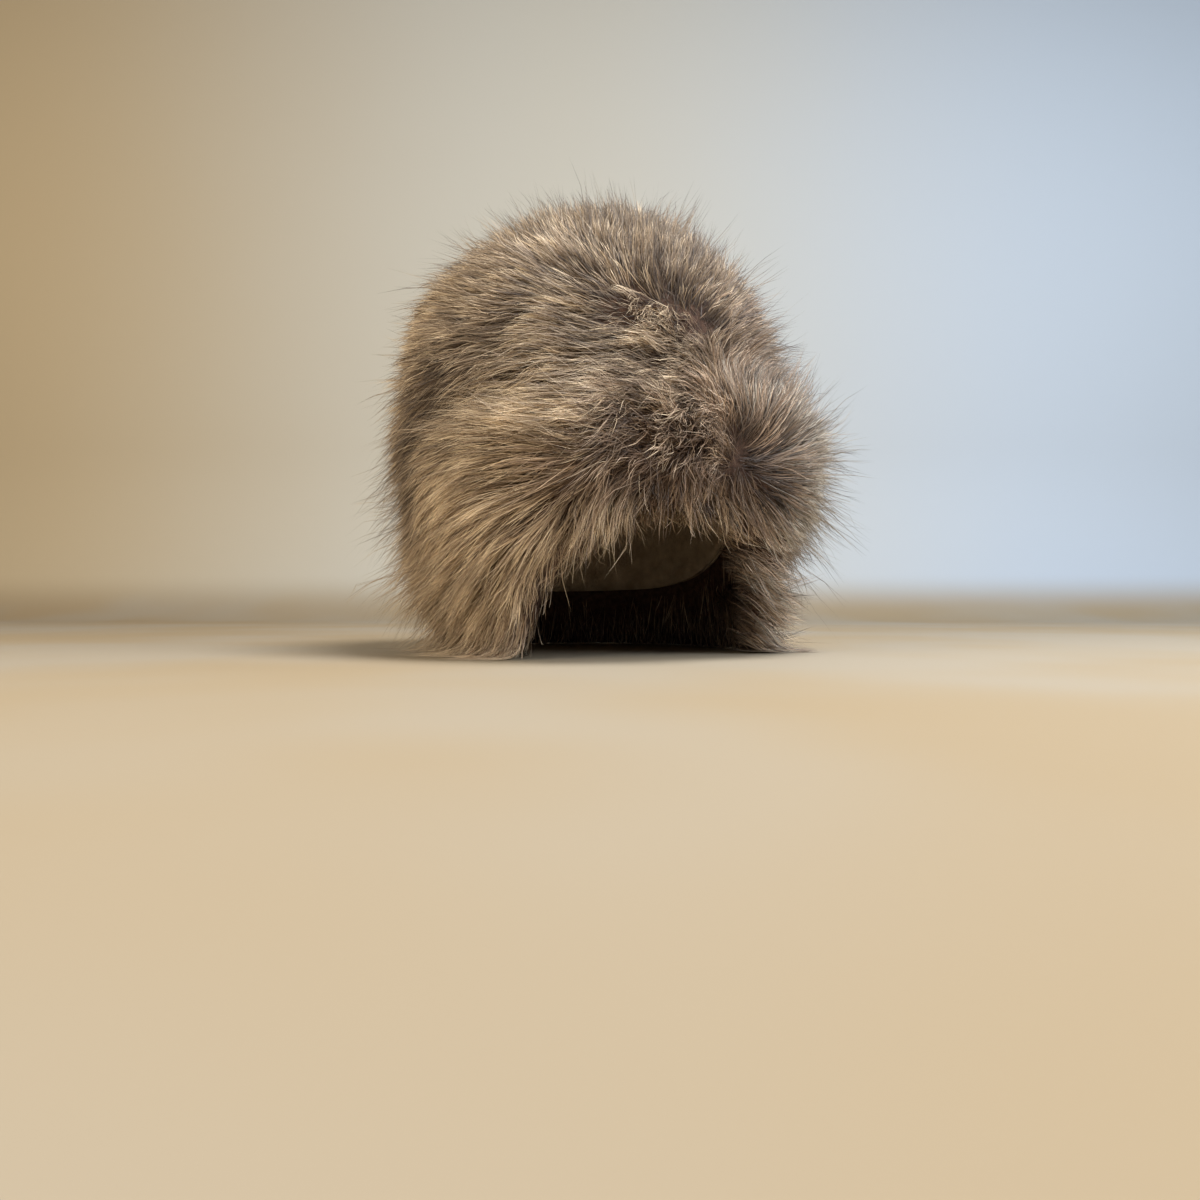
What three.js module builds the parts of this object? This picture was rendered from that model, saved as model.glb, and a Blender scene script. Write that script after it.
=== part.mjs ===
// A rounded hat of long fur: a dome-shaped skin shell with a band of skin round its lower edge, the deep fur of
// the crown over the shell and the longer fur of the brim round the band. The brim's fur hangs down over the
// sides and the back and is raised in an arch over the face. The hat stands by itself on the lower edge of the
// brim's fur. Millimetres, +Z up; the face side looks along -Y, and the wearer's left is +X.
import * as THREE from "three";

// ---- driving sizes, mm ----
const HEAD_HALF_WIDTH = 82; // half the head opening, ear to ear, inside the shell
const HEAD_HALF_LENGTH = 98; // half the head opening, brow to nape, inside the shell
const SHELL_TOP = 247.5; // inside of the shell's top over the resting plane
const SHELL_SHOULDER = 132; // height where the shell starts to round over
const SHELL_FOOT = 38; // lowest height that the shell's profile is worked out for
const SHELL_WALL = 2.5; // thickness of the shell's skin
const BAND_WALL = 2; // thickness of the brim band's skin
const GAP = 0.45; // clearance between neighbouring pieces
const SEAM_RISE = 6; // how much higher the seam sits at the skin than at the fur's surface
const BAND_TOP_BELOW_SEAM = 1.5; // the band's upper edge under the seam at the skin
const SEAM_DEPTH = 15; // how far the surface of the fur dips in at the seam
const CROWN_LIP = 30; // height over which the crown's fur rounds into the seam
const BRIM_LIP = 27; // height over which the brim's fur rounds into the seam
const BRIM_FLARE = 0.12; // how much the inside of the brim's fur widens per mm under the band
const SWELL = 1.6; // height of the soft swells of the fur's surface
const AROUND = 48; // sections round the hat

// ---- tables; phi is degrees round the hat, 0 at the face, -90 at the wearer's right ear ----
// outer form of the fur: distance of its surface from the upright axis, for each height
const FORM_COLUMNS = ["z", "right", "left", "front", "back"];
const FORM = [
  [0, 122, 114, 112, 121],
  [20, 135, 124, 122, 135],
  [45, 147, 138, 136, 148],
  [75, 154, 152, 150, 157],
  [110, 156, 157, 160, 161],
  [140, 157, 157, 161, 161],
  [165, 156, 148, 154, 159],
  [190, 152, 131, 140, 154],
  [215, 146, 123, 132, 146],
  [237, 138, 113, 120, 134],
  [255, 124, 102, 106, 119],
  [271, 107, 89, 90, 102],
  [285, 87, 75, 74, 83],
  [297, 65, 60, 57, 64],
  [306, 40, 40, 37, 40],
  [311, 0, 0, 0, 0],
];
// the seam between the crown's fur and the brim's fur, at the fur's surface
const SEAM = [
  { phi: -140, z: 91 },
  { phi: -112, z: 97 },
  { phi: -97, z: 116 },
  { phi: -81, z: 142 },
  { phi: -54, z: 160 },
  { phi: -37, z: 165 },
  { phi: -8, z: 174 },
  { phi: 20, z: 181 },
  { phi: 47, z: 185 },
  { phi: 66, z: 176 },
  { phi: 83, z: 148 },
  { phi: 97, z: 118 },
  { phi: 112, z: 98 },
  { phi: 140, z: 91 },
  { phi: 180, z: 90 },
];
// the lower edge of the skin, where the head goes in
const RIM = [
  { phi: -130, z: 46 },
  { phi: -100, z: 54 },
  { phi: -80, z: 67 },
  { phi: -60, z: 87 },
  { phi: -40, z: 104 },
  { phi: -20, z: 114 },
  { phi: 0, z: 117 },
  { phi: 20, z: 114 },
  { phi: 40, z: 104 },
  { phi: 60, z: 87 },
  { phi: 80, z: 67 },
  { phi: 100, z: 54 },
  { phi: 130, z: 46 },
  { phi: 180, z: 44 },
];
// the lower edge of the brim's fur: its height, the width of its underside, and the height of the curve that
// turns the fur's outer surface in to it
const EDGE = [
  { phi: -120, z: 0, width: 20, turn: 12 },
  { phi: -60, z: 0, width: 18, turn: 14 },
  { phi: -53, z: 30, width: 17, turn: 22 },
  { phi: -45, z: 47, width: 16, turn: 28 },
  { phi: -37, z: 58, width: 16, turn: 34 },
  { phi: -27, z: 70, width: 15, turn: 38 },
  { phi: -17, z: 80, width: 15, turn: 40 },
  { phi: -6, z: 81, width: 15, turn: 40 },
  { phi: 5, z: 77, width: 15, turn: 40 },
  { phi: 18, z: 64, width: 15, turn: 38 },
  { phi: 29, z: 42, width: 16, turn: 30 },
  { phi: 39, z: 15, width: 17, turn: 20 },
  { phi: 49, z: 0, width: 18, turn: 14 },
  { phi: 120, z: 0, width: 20, turn: 12 },
  { phi: 180, z: 0, width: 20, turn: 12 },
];

// ---- curves through the tables ----
const rad = (d) => (d * Math.PI) / 180;

// A smooth curve through points that never passes beyond them between two rows.
function curve(xs, ys) {
  const n = xs.length,
    slope = [],
    m = new Array(n).fill(0);
  for (let i = 0; i < n - 1; i++)
    slope.push((ys[i + 1] - ys[i]) / (xs[i + 1] - xs[i]));
  for (let i = 1; i < n - 1; i++) {
    const a = slope[i - 1],
      b = slope[i];
    if (a * b > 0) {
      const w1 = 2 * (xs[i + 1] - xs[i]) + (xs[i] - xs[i - 1]),
        w2 = xs[i + 1] - xs[i] + 2 * (xs[i] - xs[i - 1]);
      m[i] = (w1 + w2) / (w1 / a + w2 / b);
    }
  }
  m[0] = slope[0];
  m[n - 1] = slope[n - 2];
  return (x) => {
    let i = 0;
    while (i < n - 2 && x > xs[i + 1]) i++;
    const h = xs[i + 1] - xs[i],
      u = Math.min(1, Math.max(0, (x - xs[i]) / h)),
      u2 = u * u,
      u3 = u2 * u;
    return (
      (2 * u3 - 3 * u2 + 1) * ys[i] +
      (u3 - 2 * u2 + u) * h * m[i] +
      (-2 * u3 + 3 * u2) * ys[i + 1] +
      (u3 - u2) * h * m[i + 1]
    );
  };
}

// The same for a column of a table that runs once round the hat.
function ringCurve(table, column) {
  const n = table.length,
    xs = [],
    ys = [];
  for (let lap = -1; lap <= 1; lap++)
    for (let i = 0; i < n; i++) {
      xs.push(table[i].phi + 360 * lap);
      ys.push(table[i][column]);
    }
  return curve(xs, ys);
}
const seamZ = ringCurve(SEAM, "z"),
  rimZ = ringCurve(RIM, "z"),
  edgeZ = ringCurve(EDGE, "z"),
  edgeWidth = ringCurve(EDGE, "width"),
  edgeTurn = ringCurve(EDGE, "turn");

const rows = FORM.map((_, i) => i);
const formColumn = {};
FORM_COLUMNS.forEach((name, c) => {
  formColumn[name] = curve(
    rows,
    FORM.map((row) => row[c]),
  );
});

// The table's row number, with a fraction, at a height.
function rowAt(z) {
  let lo = 0,
    hi = FORM.length - 1;
  for (let k = 0; k < 40; k++) {
    const mid = (lo + hi) / 2;
    if (formColumn.z(mid) < z) lo = mid;
    else hi = mid;
  }
  return (lo + hi) / 2;
}

// Distance from the axis to an oval with its own half size on each of the four sides.
function oval(phi, right, left, front, back) {
  const s = Math.sin(rad(phi)),
    c = Math.cos(rad(phi)),
    a = s < 0 ? right : left,
    b = c > 0 ? front : back;
  return a < 1e-6 || b < 1e-6 ? 0 : 1 / Math.hypot(s / a, c / b);
}

// The fur's surface at a table row, with soft swells where the fur gathers in tufts.
function formRadius(phi, row) {
  const f = formColumn,
    r = oval(phi, f.right(row), f.left(row), f.front(row), f.back(row)),
    z = f.z(row),
    fade = Math.min(1, Math.max(0, (FORM.length - 1 - row) / 3)) * Math.min(1, z / 45),
    p = rad(phi);
  return (
    r -
    SWELL *
      fade *
      (1 - 0.5 * (Math.sin(9 * p + z / 23) + Math.sin(5 * p - z / 31)))
  );
}

// ---- the shell's profile: share of the full half size, and height, from the top down ----
const profile = [];
for (let i = 0; i <= 120; i++) {
  const a = (Math.PI / 2) * (i / 120);
  profile.push([
    Math.pow(Math.sin(a), 0.92),
    SHELL_SHOULDER + (SHELL_TOP - SHELL_SHOULDER) * Math.pow(Math.cos(a), 0.92),
  ]);
}
for (let i = 1; i <= 40; i++)
  profile.push([1, SHELL_SHOULDER + ((SHELL_FOOT - SHELL_SHOULDER) * i) / 40]);
const along = [0];
for (let i = 1; i < profile.length; i++)
  along.push(
    along[i - 1] +
      Math.hypot(
        90 * (profile[i][0] - profile[i - 1][0]),
        profile[i][1] - profile[i - 1][1],
      ),
  );
function shellAlongZ(z) {
  let i = 0;
  while (i < profile.length - 2 && profile[i + 1][1] > z) i++;
  const u = (z - profile[i][1]) / (profile[i + 1][1] - profile[i][1]);
  return along[i] + u * (along[i + 1] - along[i]);
}
function shellPoint(phi, length) {
  let i = 0;
  while (i < profile.length - 2 && along[i + 1] < length) i++;
  const u = Math.min(1, Math.max(0, (length - along[i]) / (along[i + 1] - along[i])));
  const share = profile[i][0] + u * (profile[i + 1][0] - profile[i][0]),
    z = profile[i][1] + u * (profile[i + 1][1] - profile[i][1]);
  const full = oval(phi, HEAD_HALF_WIDTH, HEAD_HALF_WIDTH, HEAD_HALF_LENGTH, HEAD_HALF_LENGTH);
  return [share * full, z];
}

// The shell's inner line at one angle: from the top to the seam, then from the seam to the rim.
const TOP_ROWS = 9,
  BAND_ROWS = 4;
function shellLine(phi) {
  const toSeam = shellAlongZ(seamZ(phi) + SEAM_RISE),
    toRim = shellAlongZ(rimZ(phi)),
    line = [];
  for (let i = 0; i <= TOP_ROWS; i++)
    line.push(shellPoint(phi, (toSeam * i) / TOP_ROWS));
  for (let i = 1; i <= BAND_ROWS; i++)
    line.push(shellPoint(phi, toSeam + ((toRim - toSeam) * i) / BAND_ROWS));
  return line;
}

// A line in the (distance, height) plane moved outwards by a distance, square to itself.
function offset(line, by) {
  return line.map((p, i) => {
    const a = line[Math.max(0, i - 1)],
      b = line[Math.min(line.length - 1, i + 1)];
    let nr = -(b[1] - a[1]),
      nz = b[0] - a[0];
    if (p[0] < 1e-6) {
      nr = 0;
      nz = 1;
    }
    if (i === line.length - 1) {
      nr = 1;
      nz = 0;
    }
    const n = Math.hypot(nr, nz);
    return [p[0] + (by * nr) / n, p[1] + (by * nz) / n];
  });
}

// ---- sections of the four pieces at one angle, in the (distance from the axis, height) plane ----
function sectionShell(phi) {
  const inner = shellLine(phi),
    outer = offset(inner, SHELL_WALL);
  return [...outer, ...inner.reverse()];
}

function sectionBand(phi) {
  const line = shellLine(phi),
    skin = offset(line, SHELL_WALL + GAP).slice(TOP_ROWS),
    face = offset(line, SHELL_WALL + GAP + BAND_WALL).slice(TOP_ROWS);
  const drop = BAND_TOP_BELOW_SEAM;
  skin[0] = [skin[0][0], skin[0][1] - drop];
  face[0] = [face[0][0], face[0][1] - drop];
  return [...face, ...skin.reverse()];
}

// Where the two furs meet at the surface.
function seamRadius(phi) {
  return formRadius(phi, rowAt(seamZ(phi))) - SEAM_DEPTH;
}

// The seam's line runs straight in from the surface to the shell; here its ends over the shell and over the band.
function seamAtSkin(phi) {
  const line = shellLine(phi),
    atShell = offset(line, SHELL_WALL + GAP)[TOP_ROWS],
    band = offset(line, SHELL_WALL + GAP + BAND_WALL + GAP)[TOP_ROWS][0],
    rs = seamRadius(phi),
    share = (band - atShell[0]) / (rs - atShell[0]);
  return {
    atShell,
    atBand: [band, atShell[1] + share * (seamZ(phi) - atShell[1])],
  };
}

const CROWN_ROWS = 11,
  LIP_ROWS = 4;
function sectionCrownFur(phi) {
  const zs = seamZ(phi),
    rs = seamRadius(phi),
    top = FORM.length - 1,
    lipRow = rowAt(zs + CROWN_LIP),
    out = [];
  for (let i = 0; i <= CROWN_ROWS; i++) {
    const row = top + ((lipRow - top) * i) / CROWN_ROWS;
    out.push([formRadius(phi, row), formColumn.z(row)]);
  }
  out[0] = [0, formColumn.z(top)];
  for (let i = LIP_ROWS - 1; i >= 0; i--) {
    const a = ((Math.PI / 2) * i) / LIP_ROWS,
      z = zs + GAP / 2 + CROWN_LIP * (1 - Math.cos(a));
    out.push([rs + (formRadius(phi, rowAt(z)) - rs) * Math.sin(a), z]);
  }
  const inner = offset(shellLine(phi), SHELL_WALL + GAP).slice(0, TOP_ROWS + 1),
    { atShell, atBand } = seamAtSkin(phi);
  inner[TOP_ROWS] = [atShell[0], atShell[1] + GAP / 2];
  return [...out, [atBand[0], atBand[1] + GAP / 2], ...inner.reverse()];
}

const BRIM_ROWS = 5,
  TURN_ROWS = 4,
  HANG_ROWS = 2;
function sectionBrimFur(phi) {
  const zs = seamZ(phi) - GAP / 2,
    rs = seamRadius(phi),
    ze = edgeZ(phi),
    turn = edgeTurn(phi),
    out = [];
  const skin = offset(shellLine(phi), SHELL_WALL + GAP + BAND_WALL + GAP).slice(TOP_ROWS),
    rim = skin[skin.length - 1],
    edgeIn = rim[0] + BRIM_FLARE * (rim[1] - ze),
    edgeOut = edgeIn + edgeWidth(phi);
  for (let i = 0; i < LIP_ROWS; i++) {
    const a = ((Math.PI / 2) * i) / LIP_ROWS,
      z = zs - BRIM_LIP * (1 - Math.cos(a));
    out.push([rs + (formRadius(phi, rowAt(z)) - rs) * Math.sin(a), z]);
  }
  const zHigh = zs - BRIM_LIP,
    zLow = Math.min(ze + turn, zHigh - 4);
  for (let i = 0; i <= BRIM_ROWS; i++) {
    const z = zHigh + ((zLow - zHigh) * i) / BRIM_ROWS;
    out.push([formRadius(phi, rowAt(z)), z]);
  }
  for (let i = TURN_ROWS - 1; i >= 0; i--) {
    const a = ((Math.PI / 2) * i) / TURN_ROWS,
      z = ze + (zLow - ze) * (1 - Math.cos(a));
    out.push([edgeOut + (formRadius(phi, rowAt(z)) - edgeOut) * Math.sin(a), z]);
  }
  out.push([edgeIn, ze]);
  for (let i = 1; i < HANG_ROWS; i++)
    out.push([
      edgeIn + ((rim[0] - edgeIn) * i) / HANG_ROWS,
      ze + ((rim[1] - ze) * i) / HANG_ROWS,
    ]);
  const { atBand } = seamAtSkin(phi);
  skin[0] = [atBand[0], atBand[1] - GAP / 2];
  return [...out, ...skin.reverse()];
}

// ---- a closed surface through sections round the axis; points on the axis are shared ----
function aroundAxis(section, closed) {
  const positions = [],
    index = [],
    ids = [],
    poles = new Map();
  for (let j = 0; j < AROUND; j++) {
    const phi = -180 + (360 * j) / AROUND,
      s = Math.sin(rad(phi)),
      c = Math.cos(rad(phi));
    ids.push(
      section(phi).map(([r, z], k) => {
        if (r < 1e-6) {
          if (!poles.has(k)) {
            poles.set(k, positions.length / 3);
            positions.push(0, 0, z);
          }
          return poles.get(k);
        }
        positions.push(r * s, -r * c, z);
        return positions.length / 3 - 1;
      }),
    );
  }
  const count = ids[0].length,
    last = closed ? count : count - 1;
  const triangle = (a, b, c) => {
    if (a !== b && b !== c && c !== a) index.push(a, b, c);
  };
  for (let j = 0; j < AROUND; j++) {
    const here = ids[j],
      next = ids[(j + 1) % AROUND];
    for (let k = 0; k < last; k++) {
      const l = (k + 1) % count;
      // each patch is split from its upper corner here to its lower corner in the next section, so that pieces
      // that lie on one another are split alike
      if (positions[3 * here[k] + 2] >= positions[3 * here[l] + 2]) {
        triangle(here[k], here[l], next[l]);
        triangle(here[k], next[l], next[k]);
      } else {
        triangle(here[k], here[l], next[k]);
        triangle(here[l], next[l], next[k]);
      }
    }
  }
  const geometry = new THREE.BufferGeometry();
  geometry.setAttribute("position", new THREE.Float32BufferAttribute(positions, 3));
  geometry.setIndex(index);
  return geometry;
}

const LOOK = {
  crown_fur: { color: 0x8b7760, roughness: 0.9, metalness: 0 },
  brim_fur: { color: 0x8f7a60, roughness: 0.88, metalness: 0 },
  crown_shell: { color: 0xa79681, roughness: 0.95, metalness: 0 },
  brim_band: { color: 0xa08c74, roughness: 0.95, metalness: 0 },
};
const PIECES = [
  ["crown_shell", sectionShell, false],
  ["brim_band", sectionBand, true],
  ["crown_fur", sectionCrownFur, false],
  ["brim_fur", sectionBrimFur, true],
];

const hat = new THREE.Group();
hat.name = "fur_hat";
const made = PIECES.map(([name, section, closed]) => {
  const mesh = new THREE.Mesh(
    aroundAxis(section, closed),
    new THREE.MeshStandardMaterial(LOOK[name]),
  );
  mesh.name = name;
  return mesh;
});

// The middle of the hat's outline is over the origin.
const extent = new THREE.Box3();
for (const mesh of made) {
  mesh.geometry.computeBoundingBox();
  extent.union(mesh.geometry.boundingBox);
}
const middle = extent.getCenter(new THREE.Vector3());
for (const mesh of made) {
  mesh.geometry.translate(-middle.x, -middle.y, -extent.min.z);
  const flat = mesh.geometry.toNonIndexed();
  flat.computeVertexNormals();
  mesh.geometry = flat;
  hat.add(mesh);
}

export default hat;
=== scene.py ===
import math

import bpy
import numpy as np
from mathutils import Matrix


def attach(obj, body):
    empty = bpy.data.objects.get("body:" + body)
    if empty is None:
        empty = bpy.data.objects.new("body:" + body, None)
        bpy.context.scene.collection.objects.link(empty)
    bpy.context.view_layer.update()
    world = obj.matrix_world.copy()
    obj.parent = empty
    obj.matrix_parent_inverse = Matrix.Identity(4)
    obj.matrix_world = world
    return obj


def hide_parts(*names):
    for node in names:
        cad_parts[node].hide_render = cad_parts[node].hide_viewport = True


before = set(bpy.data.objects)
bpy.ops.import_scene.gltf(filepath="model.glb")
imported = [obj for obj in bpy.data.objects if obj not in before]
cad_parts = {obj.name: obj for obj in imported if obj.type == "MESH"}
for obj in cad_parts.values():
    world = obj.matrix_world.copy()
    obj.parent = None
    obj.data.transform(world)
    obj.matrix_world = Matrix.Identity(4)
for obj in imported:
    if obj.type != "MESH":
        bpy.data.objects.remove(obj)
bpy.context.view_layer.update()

MM = 0.001
AXIS = np.array([0.34, 0.22, 0.0])  # the hat's upright axis in the frame, mm

# ------------------------------------------------------------------ camera
CAMERA_TURN = -30.0  # degrees round the hat from its face
CAMERA_AWAY = 675.0  # mm from the hat's axis
CAMERA_HEIGHT = 37.0  # mm over the floor
AIM_TURN = 0.43  # degrees, so that the hat's axis stands a little right of the middle
LENS = 28.0

turn = math.radians(CAMERA_TURN)
cam_data = bpy.data.cameras.new("camera")
cam_data.lens = LENS
cam_data.sensor_width = 36.0
cam_data.sensor_fit = "HORIZONTAL"
cam_data.clip_start = 0.01
cam_data.clip_end = 50.0
camera = bpy.data.objects.new("camera", cam_data)
bpy.context.collection.objects.link(camera)
camera.location = (
    math.sin(turn) * CAMERA_AWAY * MM,
    -math.cos(turn) * CAMERA_AWAY * MM,
    CAMERA_HEIGHT * MM,
)
camera.rotation_euler = (math.radians(90.0), 0.0, turn + math.radians(AIM_TURN))
bpy.context.scene.camera = camera

# ------------------------------------------------------------------ the hat's sizes, mm
HEAD_HALF_WIDTH, HEAD_HALF_LENGTH = 82.0, 98.0
SHELL_TOP, SHELL_SHOULDER = 247.5, 132.0
SHELL_WALL, BAND_WALL, GAP = 2.5, 2.0, 0.45
BRIM_FLARE = 0.12

# outer form of the fur: height, then distance of its surface from the axis on four sides
FORM = np.array(
    [
        (0, 122, 114, 112, 121),
        (20, 135, 124, 122, 135),
        (45, 147, 138, 136, 148),
        (75, 154, 152, 150, 157),
        (110, 156, 157, 160, 161),
        (140, 157, 157, 161, 161),
        (165, 156, 148, 154, 159),
        (190, 152, 131, 140, 154),
        (215, 146, 123, 132, 146),
        (237, 138, 113, 120, 134),
        (255, 124, 102, 106, 119),
        (271, 107, 89, 90, 102),
        (285, 87, 75, 74, 83),
        (297, 65, 60, 57, 64),
        (306, 40, 40, 37, 40),
        (311, 0, 0, 0, 0),
    ],
    float,
)
# angle round the hat from the face (right ear -90), height of the seam between crown and brim
SEAM = [
    (-140, 91), (-112, 97), (-97, 116), (-81, 142), (-54, 160), (-37, 165), (-8, 174), (20, 181),
    (47, 185), (66, 176), (83, 148), (97, 118), (112, 98), (140, 91), (180, 90),
]
# angle, height of the skin's lower edge
RIM = [
    (-130, 46), (-100, 54), (-80, 67), (-60, 87), (-40, 104), (-20, 114), (0, 117), (20, 114),
    (40, 104), (60, 87), (80, 67), (100, 54), (130, 46), (180, 44),
]
# angle, height of the fur's lower edge, width of its underside, height of the turn in to it
EDGE = [
    (-120, 0, 20, 12), (-60, 0, 18, 14), (-53, 30, 17, 22), (-45, 47, 16, 28), (-37, 58, 16, 34),
    (-27, 70, 15, 38), (-17, 80, 15, 40), (-6, 81, 15, 40), (5, 77, 15, 40), (18, 64, 15, 38),
    (29, 42, 16, 30), (39, 15, 17, 20),
    (49, 0, 18, 14), (120, 0, 20, 12), (180, 0, 20, 12),
]

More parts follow.
